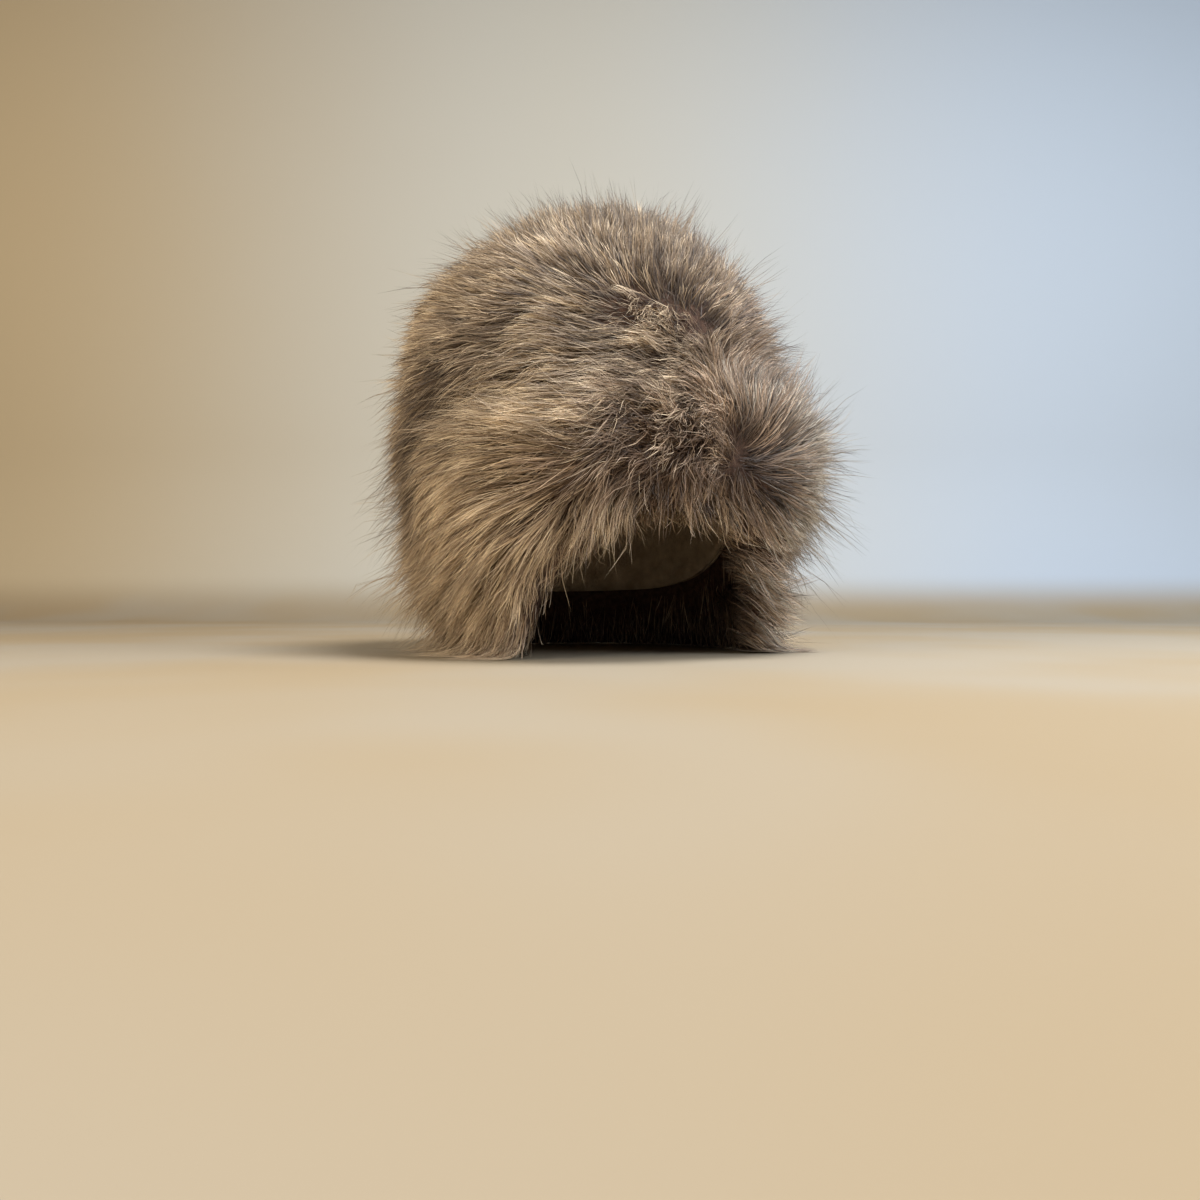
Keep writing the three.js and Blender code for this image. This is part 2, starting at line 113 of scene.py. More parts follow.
# How the hair lies. angle round the hat, height, direction on the surface (0 towards the wearer's left,
# 90 up), hair length, height of the tips over the fur's surface, tone (0 dark, 1 light), disorder in degrees
HAIR = [
    # crown, sideways from the parting
    (-32, 209, 178, 40, 1, .42, 12), (-42, 226, 171, 40, 2, .45, 12), (-54, 243, 164, 38, 3, .62, 9),
    (-66, 240, 169, 38, 3, .62, 9), (-78, 229, 178, 38, 3, .60, 9), (-92, 218, -176, 38, 4, .55, 9),
    (-32, 190, -176, 42, 1, .45, 12), (-41, 197, -174, 42, 1, .42, 12), (-50, 198, -167, 42, 0, .40, 12),
    (-61, 201, -176, 42, 1, .48, 12), (-73, 200, -171, 40, 2, .50, 10), (-22, 191, -176, 40, 1, .50, 12),
    (-12, 194, -173, 36, 1, .48, 14), (-20, 173, -160, 42, 1, .55, 12), (-11, 168, -150, 36, 1, .50, 16),
    (-32, 169, -163, 42, 1, .60, 12), (-41, 178, -164, 42, 0, .52, 12), (-50, 183, -160, 42, 0, .45, 10),
    (-60, 182, -153, 42, 0, .34, 10), (-68, 179, -149, 42, 0, .28, 10), (-75, 163, -135, 42, 0, .25, 9),
    (-89, 176, -149, 40, 3, .42, 9), (-104, 205, -172, 40, 4, .50, 9), (-66, 160, -138, 42, 0, .38, 10),
    (-55, 166, -161, 44, 1, .74, 10), (-40, 157, -173, 44, 1, .84, 12), (-44, 148, -180, 44, 1, .80, 12),
    (-89, 145, -141, 42, 1, .28, 9), (-83, 136, -129, 42, 0, .26, 9), (-102, 123, -149, 40, 2, .36, 9),
    (-84, 99, -128, 34, 0, .12, 8), (-95, 121, -141, 36, 0, .15, 8),
    # crown, up and over from the parting
    (-32, 253, 131, 32, 4, .60, 9), (-45, 258, 140, 32, 4, .60, 9), (-62, 286, 132, 30, 6, .52, 9),
    (-37, 280, 104, 30, 7, .50, 9), (-21, 271, 90, 32, 7, .54, 9), (-20, 247, 93, 34, 4, .50, 8),
    (-26, 236, 125, 30, 2, .30, 9), (-17, 232, 108, 28, 1, .20, 10), (-10, 223, 94, 30, 1, .18, 10),
    (-5, 252, 70, 36, 4, .56, 8), (16, 296, 48, 32, 8, .48, 8), (1, 247, 61, 36, 4, .56, 8),
    (-2, 216, 67, 30, 1, .16, 12), (6, 237, 49, 34, 4, .54, 9), (7, 220, 39, 32, 4, .48, 11),
    (16, 211, 18, 30, 6, .50, 8), (5, 199, 43, 30, 2, .40, 12), (21, 197, 2, 28, 5, .42, 9),
    # hollow under the parting
    (-17, 211, -146, 18, 2, .70, 50), (-6, 204, -149, 18, 2, .66, 54), (-22, 220, -165, 22, 1, .52, 34), (-12, 217, -150, 18, 2, .72, 50),
    # brim, left side of the face
    (0, 165, 90, 34, 2, .44, 16), (1, 146, 86, 36, 2, .42, 15), (8, 161, 56, 42, 4, .44, 10),
    (15, 160, 39, 44, 5, .48, 8), (5, 135, 58, 48, 3, .50, 9), (13, 141, 35, 50, 6, .54, 8),
    (24, 142, 20, 48, 5, .56, 9), (6, 121, 26, 46, 3, .30, 9), (17, 121, 10, 54, 5, .60, 8),
    (37, 115, 2, 54, 4, .64, 9), (9, 107, -3, 46, 3, .26, 9), (19, 97, -5, 54, 5, .62, 8),
    (39, 89, -5, 54, 3, .64, 9), (22, 77, -15, 52, 5, .55, 9), (31, 59, -13, 54, 4, .50, 9),
    (30, 42, -24, 52, 4, .42, 10), (36, 28, -24, 50, 3, .42, 10), (46, 60, -12, 54, 2, .62, 9), (50, 24, -20, 50, 2, .46, 10), (6, 95, -43, 40, 3, .55, 12), (14, 88, -35, 44, 5, .60, 12),
    # tangle over the brow
    (-6, 150, 159, 20, 6, .46, 60), (-11, 143, -171, 18, 6, .42, 66), (-19, 141, -170, 20, 6, .44, 62),
    (-27, 141, -174, 26, 5, .50, 44), (-13, 128, -161, 18, 8, .44, 70), (-21, 125, -165, 18, 8, .46, 66),
    (-5, 132, 171, 18, 6, .46, 60), (-29, 124, -164, 28, 5, .54, 40), (-35, 141, -178, 42, 2, .66, 16),
    (-34, 120, 176, 34, 2, .60, 16), (-26, 119, 174, 22, 5, .46, 40), (-18, 118, 168, 18, 6, .42, 56),
    (-10, 117, 164, 18, 6, .40, 56), (-3, 115, 160, 20, 4, .42, 40),
    # fringe
    (-32, 107, -122, 36, 2, .50, 10), (-24, 107, -110, 32, 2, .46, 12), (-16, 106, -98, 32, 2, .44, 12),
    (-9, 105, -86, 32, 2, .44, 12), (-2, 103, -72, 34, 2, .46, 12),
    (-31, 102, -124, 34, 1, .44, 12), (-23, 105, -126, 30, 1, .36, 16), (-17, 106, -113, 30, 1, .36, 18),
    (-11, 107, -90, 30, 1, .38, 16), (-5, 107, -79, 34, 1, .44, 14), (1, 100, -60, 38, 2, .50, 12),
    (-27, 89, -100, 34, 1, .56, 10), (-17, 90, -93, 28, 1, .54, 12), (-8, 89, -79, 28, 1, .54, 12),
    (1, 86, -61, 32, 1, .64, 10),
    # brim, right side of the face
    (-39, 125, 168, 46, 2, .66, 12), (-48, 132, 167, 48, 2, .64, 12), (-58, 134, 175, 48, 1, .55, 11),
    (-67, 136, -158, 48, 1, .52, 10), (-40, 113, -174, 56, 1, .78, 8), (-48, 112, -172, 58, 2, .80, 8),
    (-58, 108, -165, 58, 2, .74, 8), (-69, 107, -146, 56, 2, .60, 9), (-44, 100, -157, 58, 1, .78, 7),
    (-53, 96, -153, 60, 2, .72, 7), (-64, 89, -151, 60, 2, .72, 7), (-74, 78, -139, 56, 2, .50, 9),
    (-84, 67, -146, 50, 7, .58, 11), (-98, 49, -168, 50, 12, .62, 12), (-36, 103, -135, 52, 1, .70, 7),
    (-44, 87, -139, 58, 1, .76, 7), (-54, 70, -140, 60, 2, .70, 7), (-66, 60, -145, 60, 2, .68, 7),
    (-79, 42, -157, 54, 9, .66, 10), (-35, 92, -111, 44, 1, .72, 8), (-40, 81, -115, 50, 1, .74, 8),
    (-47, 65, -125, 56, 1, .74, 7), (-59, 42, -136, 60, 2, .74, 7), (-70, 30, -143, 54, 7, .68, 10),
    (-45, 53, -111, 48, 1, .66, 8), (-52, 30, -103, 46, 1, .42, 9), (-60, 18, -113, 48, 2, .58, 9),
    # brim, left ear and back
    (60, 165, 25, 46, 4, .50, 9), (75, 150, 10, 50, 4, .56, 10), (60, 120, -8, 54, 4, .58, 10),
    (80, 100, -20, 54, 4, .62, 10), (90, 60, -35, 54, 4, .60, 10), (62, 40, -28, 52, 3, .52, 10),
    (110, 80, -45, 54, 5, .58, 10), (110, 35, -60, 54, 5, .56, 10), (140, 66, -72, 54, 4, .62, 10),
    (140, 28, -80, 50, 4, .50, 10), (180, 66, -90, 54, 4, .66, 10), (180, 28, -90, 50, 4, .52, 10),
    (-150, 66, -108, 54, 4, .60, 10), (-150, 28, -100, 50, 4, .50, 10), (-120, 66, -132, 54, 4, .62, 10),
    (-118, 28, -128, 54, 4, .52, 10),
    # crown, left ear and back
    (40, 235, 18, 34, 5, .60, 9), (45, 200, 8, 32, 5, .46, 9), (70, 240, -4, 36, 4, .58, 9),
    (75, 190, -12, 38, 4, .42, 10), (60, 300, 20, 32, 6, .56, 8), (100, 250, -24, 38, 4, .60, 10),
    (100, 200, -34, 42, 4, .50, 10), (105, 150, -40, 42, 3, .46, 10), (120, 295, -44, 34, 5, .56, 9),
    (140, 250, -58, 40, 4, .62, 10), (140, 190, -64, 44, 3, .46, 10), (140, 130, -70, 44, 3, .60, 10),
    (180, 300, -95, 36, 5, .56, 9), (180, 265, -92, 40, 4, .60, 10), (180, 210, -92, 44, 3, .48, 10),
    (180, 160, -94, 44, 3, .62, 10), (180, 115, -96, 44, 3, .44, 10), (-150, 260, -118, 40, 4, .60, 10),
    (-150, 200, -120, 44, 3, .50, 10), (-150, 140, -122, 44, 3, .58, 10), (-122, 270, -160, 38, 4, .58, 9),
    (-122, 220, -164, 42, 4, .56, 10), (-122, 170, -156, 44, 3, .44, 10), (-120, 120, -146, 44, 3, .40, 10),
]
# colour of the coat. angle, height, hue (0 cream, 1 beige, 2 pinkish brown, 3 grey, its blue cast partly painted cool
# light), darkness of the hair tips
COAT = [
    (-60, 240, .6, .5), (-80, 200, .5, .45), (-45, 205, .6, .45), (-90, 150, .2, .5), (-60, 160, .2, .3),
    (-40, 155, .2, .25), (-40, 290, .5, 1.0), (-70, 270, .5, .8), (0, 300, .9, 1.1), (-10, 260, .6, .8), (-30, 240, .6, .5), (10, 240, 1.2, .9),
    (20, 210, 2.5, 1.0), (60, 280, 1.5, 1.0), (60, 200, 2.0, .9), (-15, 215, .8, .4), (-20, 190, .6, .45),
    (-10, 170, 1.0, .4), (-15, 143, 1.7, .3), (-22, 128, 2.0, .25), (-8, 128, 2.0, .25), (-35, 140, .7, .2), (-20, 113, 2.0, .1), (-5, 108, 2.0, .1), (-35, 114, 1.8, .1),
    (-25, 95, .8, .05), (-5, 92, .9, .05), (-35, 90, .5, .1), (-45, 100, .3, .2), (-60, 100, .2, .25),
    (-55, 60, .3, .25), (-75, 60, .4, .4), (-60, 25, 1.3, .35), (-90, 40, .5, .5), (-48, 40, 1.6, .2),
    (5, 150, 2.4, .5), (15, 140, 2.9, .7), (25, 120, 3.2, .55), (40, 110, 3.2, .6), (10, 110, 2.3, .6),
    (20, 90, 3.1, .5), (40, 80, 3.2, .6), (25, 60, 2.4, .8), (20, 40, 2.2, .8), (45, 40, 2.2, .8),
    (120, 60, .6, .4), (180, 60, .5, .4), (-130, 60, .5, .4), (120, 200, .9, .5), (180, 200, .8, .5),
    (-130, 200, .7, .5), (180, 290, 1.0, .6),
]
# the bare line over the brow, where the hair parts: angle, height
PARTING = [(-44, 115), (-36, 113), (-28, 112), (-20, 112), (-12, 111), (-5, 109), (2, 107)]
# Painted shade: patches of the coat darkened where it lies in shade, such as the hollow under the parting, the brow
# and the wearer's right flank.
PAINTED_SHADE_PATCH = [  # angle, height, reach, how much darker
    (9, 112, 14, .3), (-13, 122, 20, .25), (-14, 237, 10, .3), (-2, 214, 10, .3), (-92, 112, 18, .32),
    (-48, 205, 15, .2), (-70, 172, 24, .3), (-30, 216, 14, .2), (-85, 140, 24, .18), (-14, 138, 20, .12),
]


# ------------------------------------------------------------------ curves through the tables
def smooth_curve(xs, ys):
    """A curve through points that never passes beyond them between two rows."""
    xs = np.asarray(xs, float)
    ys = np.asarray(ys, float)
    h = np.diff(xs)
    s = np.diff(ys) / h
    m = np.zeros(len(xs))
    for i in range(1, len(xs) - 1):
        if s[i - 1] * s[i] > 0:
            w1 = 2 * h[i] + h[i - 1]
            w2 = h[i] + 2 * h[i - 1]
            m[i] = (w1 + w2) / (w1 / s[i - 1] + w2 / s[i])
    m[0] = s[0]
    m[-1] = s[-1]

    def f(x):
        x = np.asarray(x, float)
        i = np.clip(np.searchsorted(xs, x, side="left") - 1, 0, len(xs) - 2)
        u = np.clip((x - xs[i]) / h[i], 0, 1)
        u2 = u * u
        u3 = u2 * u
        return (
            (2 * u3 - 3 * u2 + 1) * ys[i]
            + (u3 - 2 * u2 + u) * h[i] * m[i]
            + (-2 * u3 + 3 * u2) * ys[i + 1]
            + (u3 - u2) * h[i] * m[i + 1]
        )

    return f


def ring(rows, column):
    xs = [row[0] + 360 * lap for lap in (-1, 0, 1) for row in rows]
    ys = [row[column] for lap in (-1, 0, 1) for row in rows]
    f = smooth_curve(xs, ys)
    return lambda phi: f((np.asarray(phi, float) + 180) % 360 - 180)


seam_z, rim_z = ring(SEAM, 1), ring(RIM, 1)
edge_z, edge_width, edge_turn = ring(EDGE, 1), ring(EDGE, 2), ring(EDGE, 3)
_rows = np.linspace(0, len(FORM) - 1, 1501)
_form = [smooth_curve(np.arange(len(FORM)), FORM[:, c])(_rows) for c in range(5)]


def oval(phi, right, left, front, back):
    s = np.sin(np.radians(phi))
    c = np.cos(np.radians(phi))
    a = np.where(s < 0, right, left)
    b = np.where(c > 0, front, back)
    return 1 / np.hypot(s / np.maximum(a, 1e-6), c / np.maximum(b, 1e-6))


def form_r(phi, z):
    return oval(phi, *[np.interp(z, _form[0], c) for c in _form[1:]])


def band_r(phi):
    """Outside of the brim's skin."""
    t = SHELL_WALL + GAP + BAND_WALL + GAP
    return oval(phi, HEAD_HALF_WIDTH + t, HEAD_HALF_WIDTH + t, HEAD_HALF_LENGTH + t, HEAD_HALF_LENGTH + t)


def edge_r(phi):
    """Outer corner of the brim's underside."""
    return band_r(phi) + BRIM_FLARE * (rim_z(phi) - edge_z(phi)) + edge_width(phi)


# The fur's surface as a distance from one point inside the hat, for every direction.
MIDDLE = np.array([0.0, 0.0, 130.0])
N_PHI, N_THETA, THETA_END = 241, 201, 150.0
PHI = np.linspace(-180, 180, N_PHI)
THETA = np.linspace(0, THETA_END, N_THETA)


def surface_grid(turn_in, dip, seam_width, inset):
    """The fur's surface; turn_in is how far it turns in at the brim's edge, dip how deep the seam lies."""
    rho = np.zeros((N_PHI, N_THETA))
    z = np.concatenate([_form[0][::-1], np.linspace(-1, -60, 60)])
    for i, p in enumerate(PHI):
        zs, ze, tu = seam_z(p), edge_z(p), edge_turn(p)
        r = form_r(p, np.maximum(z, 0)) - dip * np.exp(-(((z - zs) / seam_width) ** 2))
        crown = np.exp(-(((p - 60) / 45) ** 2)) * np.clip((z - 180) / 50, 0, 1)
        cheek = np.exp(-(((p - 55) / 28) ** 2)) * np.clip((190 - z) / 130, 0, 1)
        flank = np.exp(-(((p + 115) / 35) ** 2)) * np.clip((260 - z) / 60, 0, 1)
        low = flank * np.clip((120 - z) / 60, 0, 1)
        side = np.exp(-(((p - 60) / 40) ** 2)) * np.clip((z - 150) / 40, 0, 1) * np.clip((260 - z) / 40, 0, 1)
        r = np.maximum(r - inset * (1 + 0.9 * crown + 1.5 * side + 2.3 * cheek + 3.6 * cheek * np.clip((100 - z) / 60, 0, 1) + 0.9 * flank + 2.4 * low), 0)
        a = np.arccos(np.clip(1 - (z - ze) / tu, -1, 1))
        eo = edge_r(p)
        turned_in = eo + (r - eo) * np.where(z < ze, 0, np.sin(a))
        r = np.where(z < ze + tu, r + turn_in * (turned_in - r), r)
        th = np.degrees(np.arctan2(r, z - MIDDLE[2]))
        o = np.argsort(th)
        rho[i] = np.interp(THETA, th[o], np.hypot(r, z - MIDDLE[2])[o])
    return rho


_p, _t = np.meshgrid(np.radians(PHI), np.radians(THETA), indexing="ij")
DIRS = np.stack([np.sin(_t) * np.sin(_p), -np.sin(_t) * np.cos(_p), np.cos(_t)], -1)


def outward(grid):
    dp = np.gradient(grid, axis=0)
    dp[0] = dp[-1] = (grid[1] - grid[-2]) / 2
    n = np.cross(np.gradient(grid, axis=1), dp)
    if (n[:, 40] * DIRS[:, 40]).sum() < 0:
        n = -n
    n[:, 0] = (0, 0, 1)
    return n / np.linalg.norm(n, axis=-1, keepdims=True)


RHO = surface_grid(1.0, 7.0, 17.0, 0.0)
GRID = MIDDLE + RHO[..., None] * DIRS
NORMALS = outward(GRID)
# The hair follows a surface that runs on past the brim's edge, so that its tips hang over it.
HAIR_RHO = surface_grid(0.45, 5.5, 12.0, 4.0)
HAIR_NORMALS = outward(MIDDLE + HAIR_RHO[..., None] * DIRS)


def unit(v):
    return v / np.maximum(np.linalg.norm(v, axis=-1, keepdims=True), 1e-9)


def grid_place(P):
    d = P - MIDDLE
    length = np.linalg.norm(d, axis=-1)
    th = np.degrees(np.arccos(np.clip(d[..., 2] / length, -1, 1)))
    ph = np.degrees(np.arctan2(d[..., 0], -d[..., 1]))
    i = np.clip((ph + 180) / 360 * (N_PHI - 1), 0, N_PHI - 1.001)
    j = np.clip(th / THETA_END * (N_THETA - 1), 0, N_THETA - 1.001)
    return d, length, i, j


def from_grid(values, i, j):
    i0 = i.astype(int)
    j0 = j.astype(int)
    fi = i - i0
    fj = j - j0
    if values.ndim == 3:
        fi = fi[..., None]
        fj = fj[..., None]
    return (
        values[i0, j0] * (1 - fi) * (1 - fj)
        + values[i0 + 1, j0] * fi * (1 - fj)
        + values[i0, j0 + 1] * (1 - fi) * fj
        + values[i0 + 1, j0 + 1] * fi * fj
    )


def onto_surface(P):
    """The points moved to the fur's surface, and the way out there."""
    d, length, i, j = grid_place(P)
    rho = from_grid(HAIR_RHO, i, j)
    return MIDDLE + d * (rho / length)[..., None], unit(from_grid(HAIR_NORMALS, i, j))


def phi_of(P):
    return np.degrees(np.arctan2(P[..., 0], -P[..., 1]))


def surface_point(phi, z):
    r = form_r(phi, z)
    p = np.radians(phi)
    return np.stack([r * np.sin(p), -r * np.cos(p), np.asarray(z, float)], -1)


_h = np.array(HAIR, float)
KNOT_P, _kn = onto_surface(surface_point(_h[:, 0], np.minimum(_h[:, 1], 308)))
_e1 = np.stack([np.cos(np.radians(_h[:, 0])), np.sin(np.radians(_h[:, 0])), np.zeros(len(_h))], -1)
_e1 = unit(_e1 - _kn * (_kn * _e1).sum(-1, keepdims=True))
_e2 = np.cross(_kn, _e1)
_e2 *= np.where(_e2[:, 2:3] < 0, -1, 1)
_a = np.radians(_h[:, 2:3])
KNOT_DIR = unit(_e1 * np.cos(_a) + _e2 * np.sin(_a))
KNOT_FACTS = _h[:, 3:]  # length, lift, tone, disorder

_c = np.array(COAT, float)
COAT_P, _ = onto_surface(surface_point(_c[:, 0], _c[:, 1]))
_q = np.array(PARTING, float)
PARTING_P, _ = onto_surface(surface_point(_q[:, 0], _q[:, 1]))


def coat(P):
    """Hue and darkness of the tips at points of the surface."""
    w = 1 / (((P[:, None] - COAT_P[None]) ** 2).sum(-1) + 40.0) ** 1.6
    return (w / w.sum(1, keepdims=True)) @ _c[:, 2:]


def bare(P, reach=6.5):
    """Nearness to the parting: 1 on it, 0 away from it."""
    best = np.full(len(P), 1e9)
    for a, b in zip(PARTING_P[:-1], PARTING_P[1:]):
        ab = b - a
        s = np.clip(((P - a) @ ab) / (ab @ ab), 0, 1)
        best = np.minimum(best, ((P - a - s[:, None] * ab) ** 2).sum(-1))
    return np.exp(-best / reach**2)  # the squared distance over the squared reach


WAVES = np.random.default_rng(5)
_waves = {}


def noise(P, size, key):
    """Smooth noise of about -1 to 1 whose bumps are about size mm across."""
    if key not in _waves:
        k = unit(WAVES.normal(size=(7, 3))) * WAVES.uniform(0.7, 1.5, (7, 1))
        _waves[key] = (k, WAVES.uniform(0, 2 * np.pi, 7))
    k, ph = _waves[key]
    return np.sin(P @ (k.T * (np.pi / size)) + ph).sum(-1) / 2.6


def flow(P, sharp=1.9):
    """Which way the hair lies at points of the surface, and its facts there."""
    out_d = np.empty_like(P)
    out_f = np.empty((len(P), KNOT_FACTS.shape[1]))
    for a in range(0, len(P), 20000):
        q = P[a : a + 20000]
        d2 = ((q[:, None] - KNOT_P[None]) ** 2).sum(-1)
        w = 1 / (d2 + 30.0) ** sharp
        w /= w.sum(1, keepdims=True)
        out_d[a : a + 20000] = w @ KNOT_DIR
        out_f[a : a + 20000] = w @ KNOT_FACTS
    return out_d, out_f


def turned(t, n, angle):
    c, s = np.cos(angle)[..., None], np.sin(angle)[..., None]
    return t * c + np.cross(n, t) * s


def trace(start, length, steps, own_turn, wild):
    """Lines that follow the way the hair lies: their points, the way out and the way along."""
    P, n = onto_surface(start)
    pts, outs, alongs = [P], [n], []
    d, _ = flow(P)
    for k in range(steps):
        t, f = flow(P)
        t = t - n * (t * n).sum(-1, keepdims=True)
        t = unit(t)
        bend = (
            np.radians(9) * noise(P, 30, "bend")
            + np.radians(f[:, 3]) * wild * noise(P, 8, "mess")
            + np.radians(f[:, 3]) * wild * 0.6 * noise(P, 4.5, "mess2")
            + own_turn * (1 - 1.5 * k / steps)
        )
        t = turned(t, n, bend)
        d = t if k == 0 else unit(0.45 * d + 0.55 * t)
        d = unit(d - n * (d * n).sum(-1, keepdims=True))
        alongs.append(d)
        P = P + d * (length / steps)[:, None]
        P, n = onto_surface(P)
        pts.append(P)
        outs.append(n)
    alongs.append(alongs[-1])
    return np.stack(pts, 1), np.stack(outs, 1), np.stack(alongs, 1)


# ------------------------------------------------------------------ where hair grows
_area = np.linalg.norm(np.cross(GRID[1:, :-1] - GRID[:-1, :-1], GRID[:-1, 1:] - GRID[:-1, :-1]), axis=-1)
_cell_phi = (PHI[1:] + PHI[:-1]) / 2
_cell_z = (GRID[:-1, :-1, 2] + GRID[1:, 1:, 2]) / 2
_seam = seam_z(_cell_phi)[:, None]
_edge = edge_z(_cell_phi)[:, None]
IS_CROWN = _cell_z > _seam
IS_BRIM = (_cell_z <= _seam) & (_cell_z > _edge + 4)
_face = np.cos(np.radians(_cell_phi - CAMERA_TURN))[:, None]
DENSITY = 1.0 + 0.35 * np.clip(_face, 0, 1)


def grow(rng, count, where):
    """Points spread evenly over part of the surface."""
    w = (_area * where * DENSITY).ravel()
    cell = rng.choice(w.size, count, p=w / w.sum())
    i, j = np.unravel_index(cell, _area.shape)
    return from_grid(GRID, i + rng.uniform(0, 1, count), j + rng.uniform(0, 1, count))


def resample(values, s):
    """Values along lines, read at the shares s of each line."""
    last = values.shape[1] - 1
    x = np.clip(s, 0, 1) * last
    i = np.minimum(x.astype(int), last - 1)
    f = (x - i)[..., None]
    rows = np.arange(len(values))[:, None]
    return values[rows, i] * (1 - f) + values[rows, i + 1] * f


def tone_at(P, facts):
    # Painted light and shade: the 0.15 term lightens the low front on the wearer's right and the 0.27 term the lobe by
    # the wearer's left cheek, where both lie in shade; the hollow noise term darkens the tone where the same noise
    # sets the locks lower, painted shade in the hollows.
    t = facts[:, 2] + 0.06 + 0.15 * np.clip((-phi_of(P) - 35) / 20, 0, 1) * np.clip((125 - P[:, 2]) / 30, 0, 1) + 0.27 * np.clip(1 - np.abs(phi_of(P) - 34) / 30, 0, 1) * np.clip((150 - P[:, 2]) / 40, 0, 1) + 0.10 * noise(P, 26, "tone") + 0.13 * noise(P, 7, "tone2") + 0.15 * noise(P, 10, "hollow")
    t = t + 0.20 * np.clip((phi_of(P) - 12) / 12, 0, 1) * np.clip((125 - phi_of(P)) / 30, 0, 1) * np.clip((115 - P[:, 2]) / 40, 0, 1)
    t = t - 0.48 * bare(P, 12.0) + 0.36 * np.clip((facts[:, 3] - 30) / 15, 0, 1) * (np.minimum(noise(P, 5, "clump"), 1.6 * noise(P, 5, "clump")) - 0.13)
    # darken the painted shade patches
    for phi, z, reach, amount in PAINTED_SHADE_PATCH:
        c, _ = onto_surface(surface_point(np.array([float(phi)]), np.array([float(z)])))
        t = t - amount * np.exp(-((P - c) ** 2).sum(-1) / (2 * reach**2))
    return t


ROOM = np.array([[-172.0, -177.5, 0.0], [172.0, 177.5, 328.5]])  # the hair stays inside, mm in the frame


def settle(P):
    """Hair that would pass through the floor lies out along it; stray tips stay near the hat."""
    low = P[..., 2] < 2.0
    under = np.maximum(2.0 - P[..., 2], 0)
    out = P[..., :2] / np.maximum(np.linalg.norm(P[..., :2], axis=-1, keepdims=True), 1e-6)
    P[..., :2] += out * (under * 0.75)[..., None]
    P[..., 2] = np.where(low, 0.5 + 1.5 * np.exp(-under / 6), P[..., 2])
    for k in range(3):
        for side, edge in ((-1, ROOM[0, k]), (1, ROOM[1, k])):
            if k == 2 and side < 0:
                continue
            past = side * (P[..., k] + AXIS[k] - edge) + 8.0
            P[..., k] -= side * np.where(past > 0, past - 8.0 * (1 - np.exp(-np.maximum(past, 0) / 8.0)), 0)
    return P


def stand_off(P):
    """How far the guard hairs stand off: most at the cheek on the wearer's left and low on the right."""
    phi, low = phi_of(P), np.clip((165 - P[:, 2]) / 40, 0, 1)
    return 1 + 0.7 * low * np.exp(-(((phi - 45) / 26) ** 2)) + 0.7 * low * np.exp(-(((phi + 92) / 26) ** 2))


def loose(P):
    """Where the coat is loosest: along the wearer's right flank, by the ear."""
    return np.exp(-(((phi_of(P) + 115) / 35) ** 2)) * np.clip((260 - P[:, 2]) / 60, 0, 1)


def arch_share(phi):
    """1 where the brim's edge is raised over the face, 0 where it hangs down."""
    return np.clip((edge_z(phi) - 22) / 30, 0, 1)


def arch_limit(P):
    """How far over the brim's edge the hair ends, where the edge is raised over the face: in uneven tufts."""
    phi = phi_of(P)
    return arch_share(phi) * (11.0 + 6.0 * np.exp(-(((phi + 32) / 16) ** 2)) + 7.0 * noise(P, 9, "tuft"))


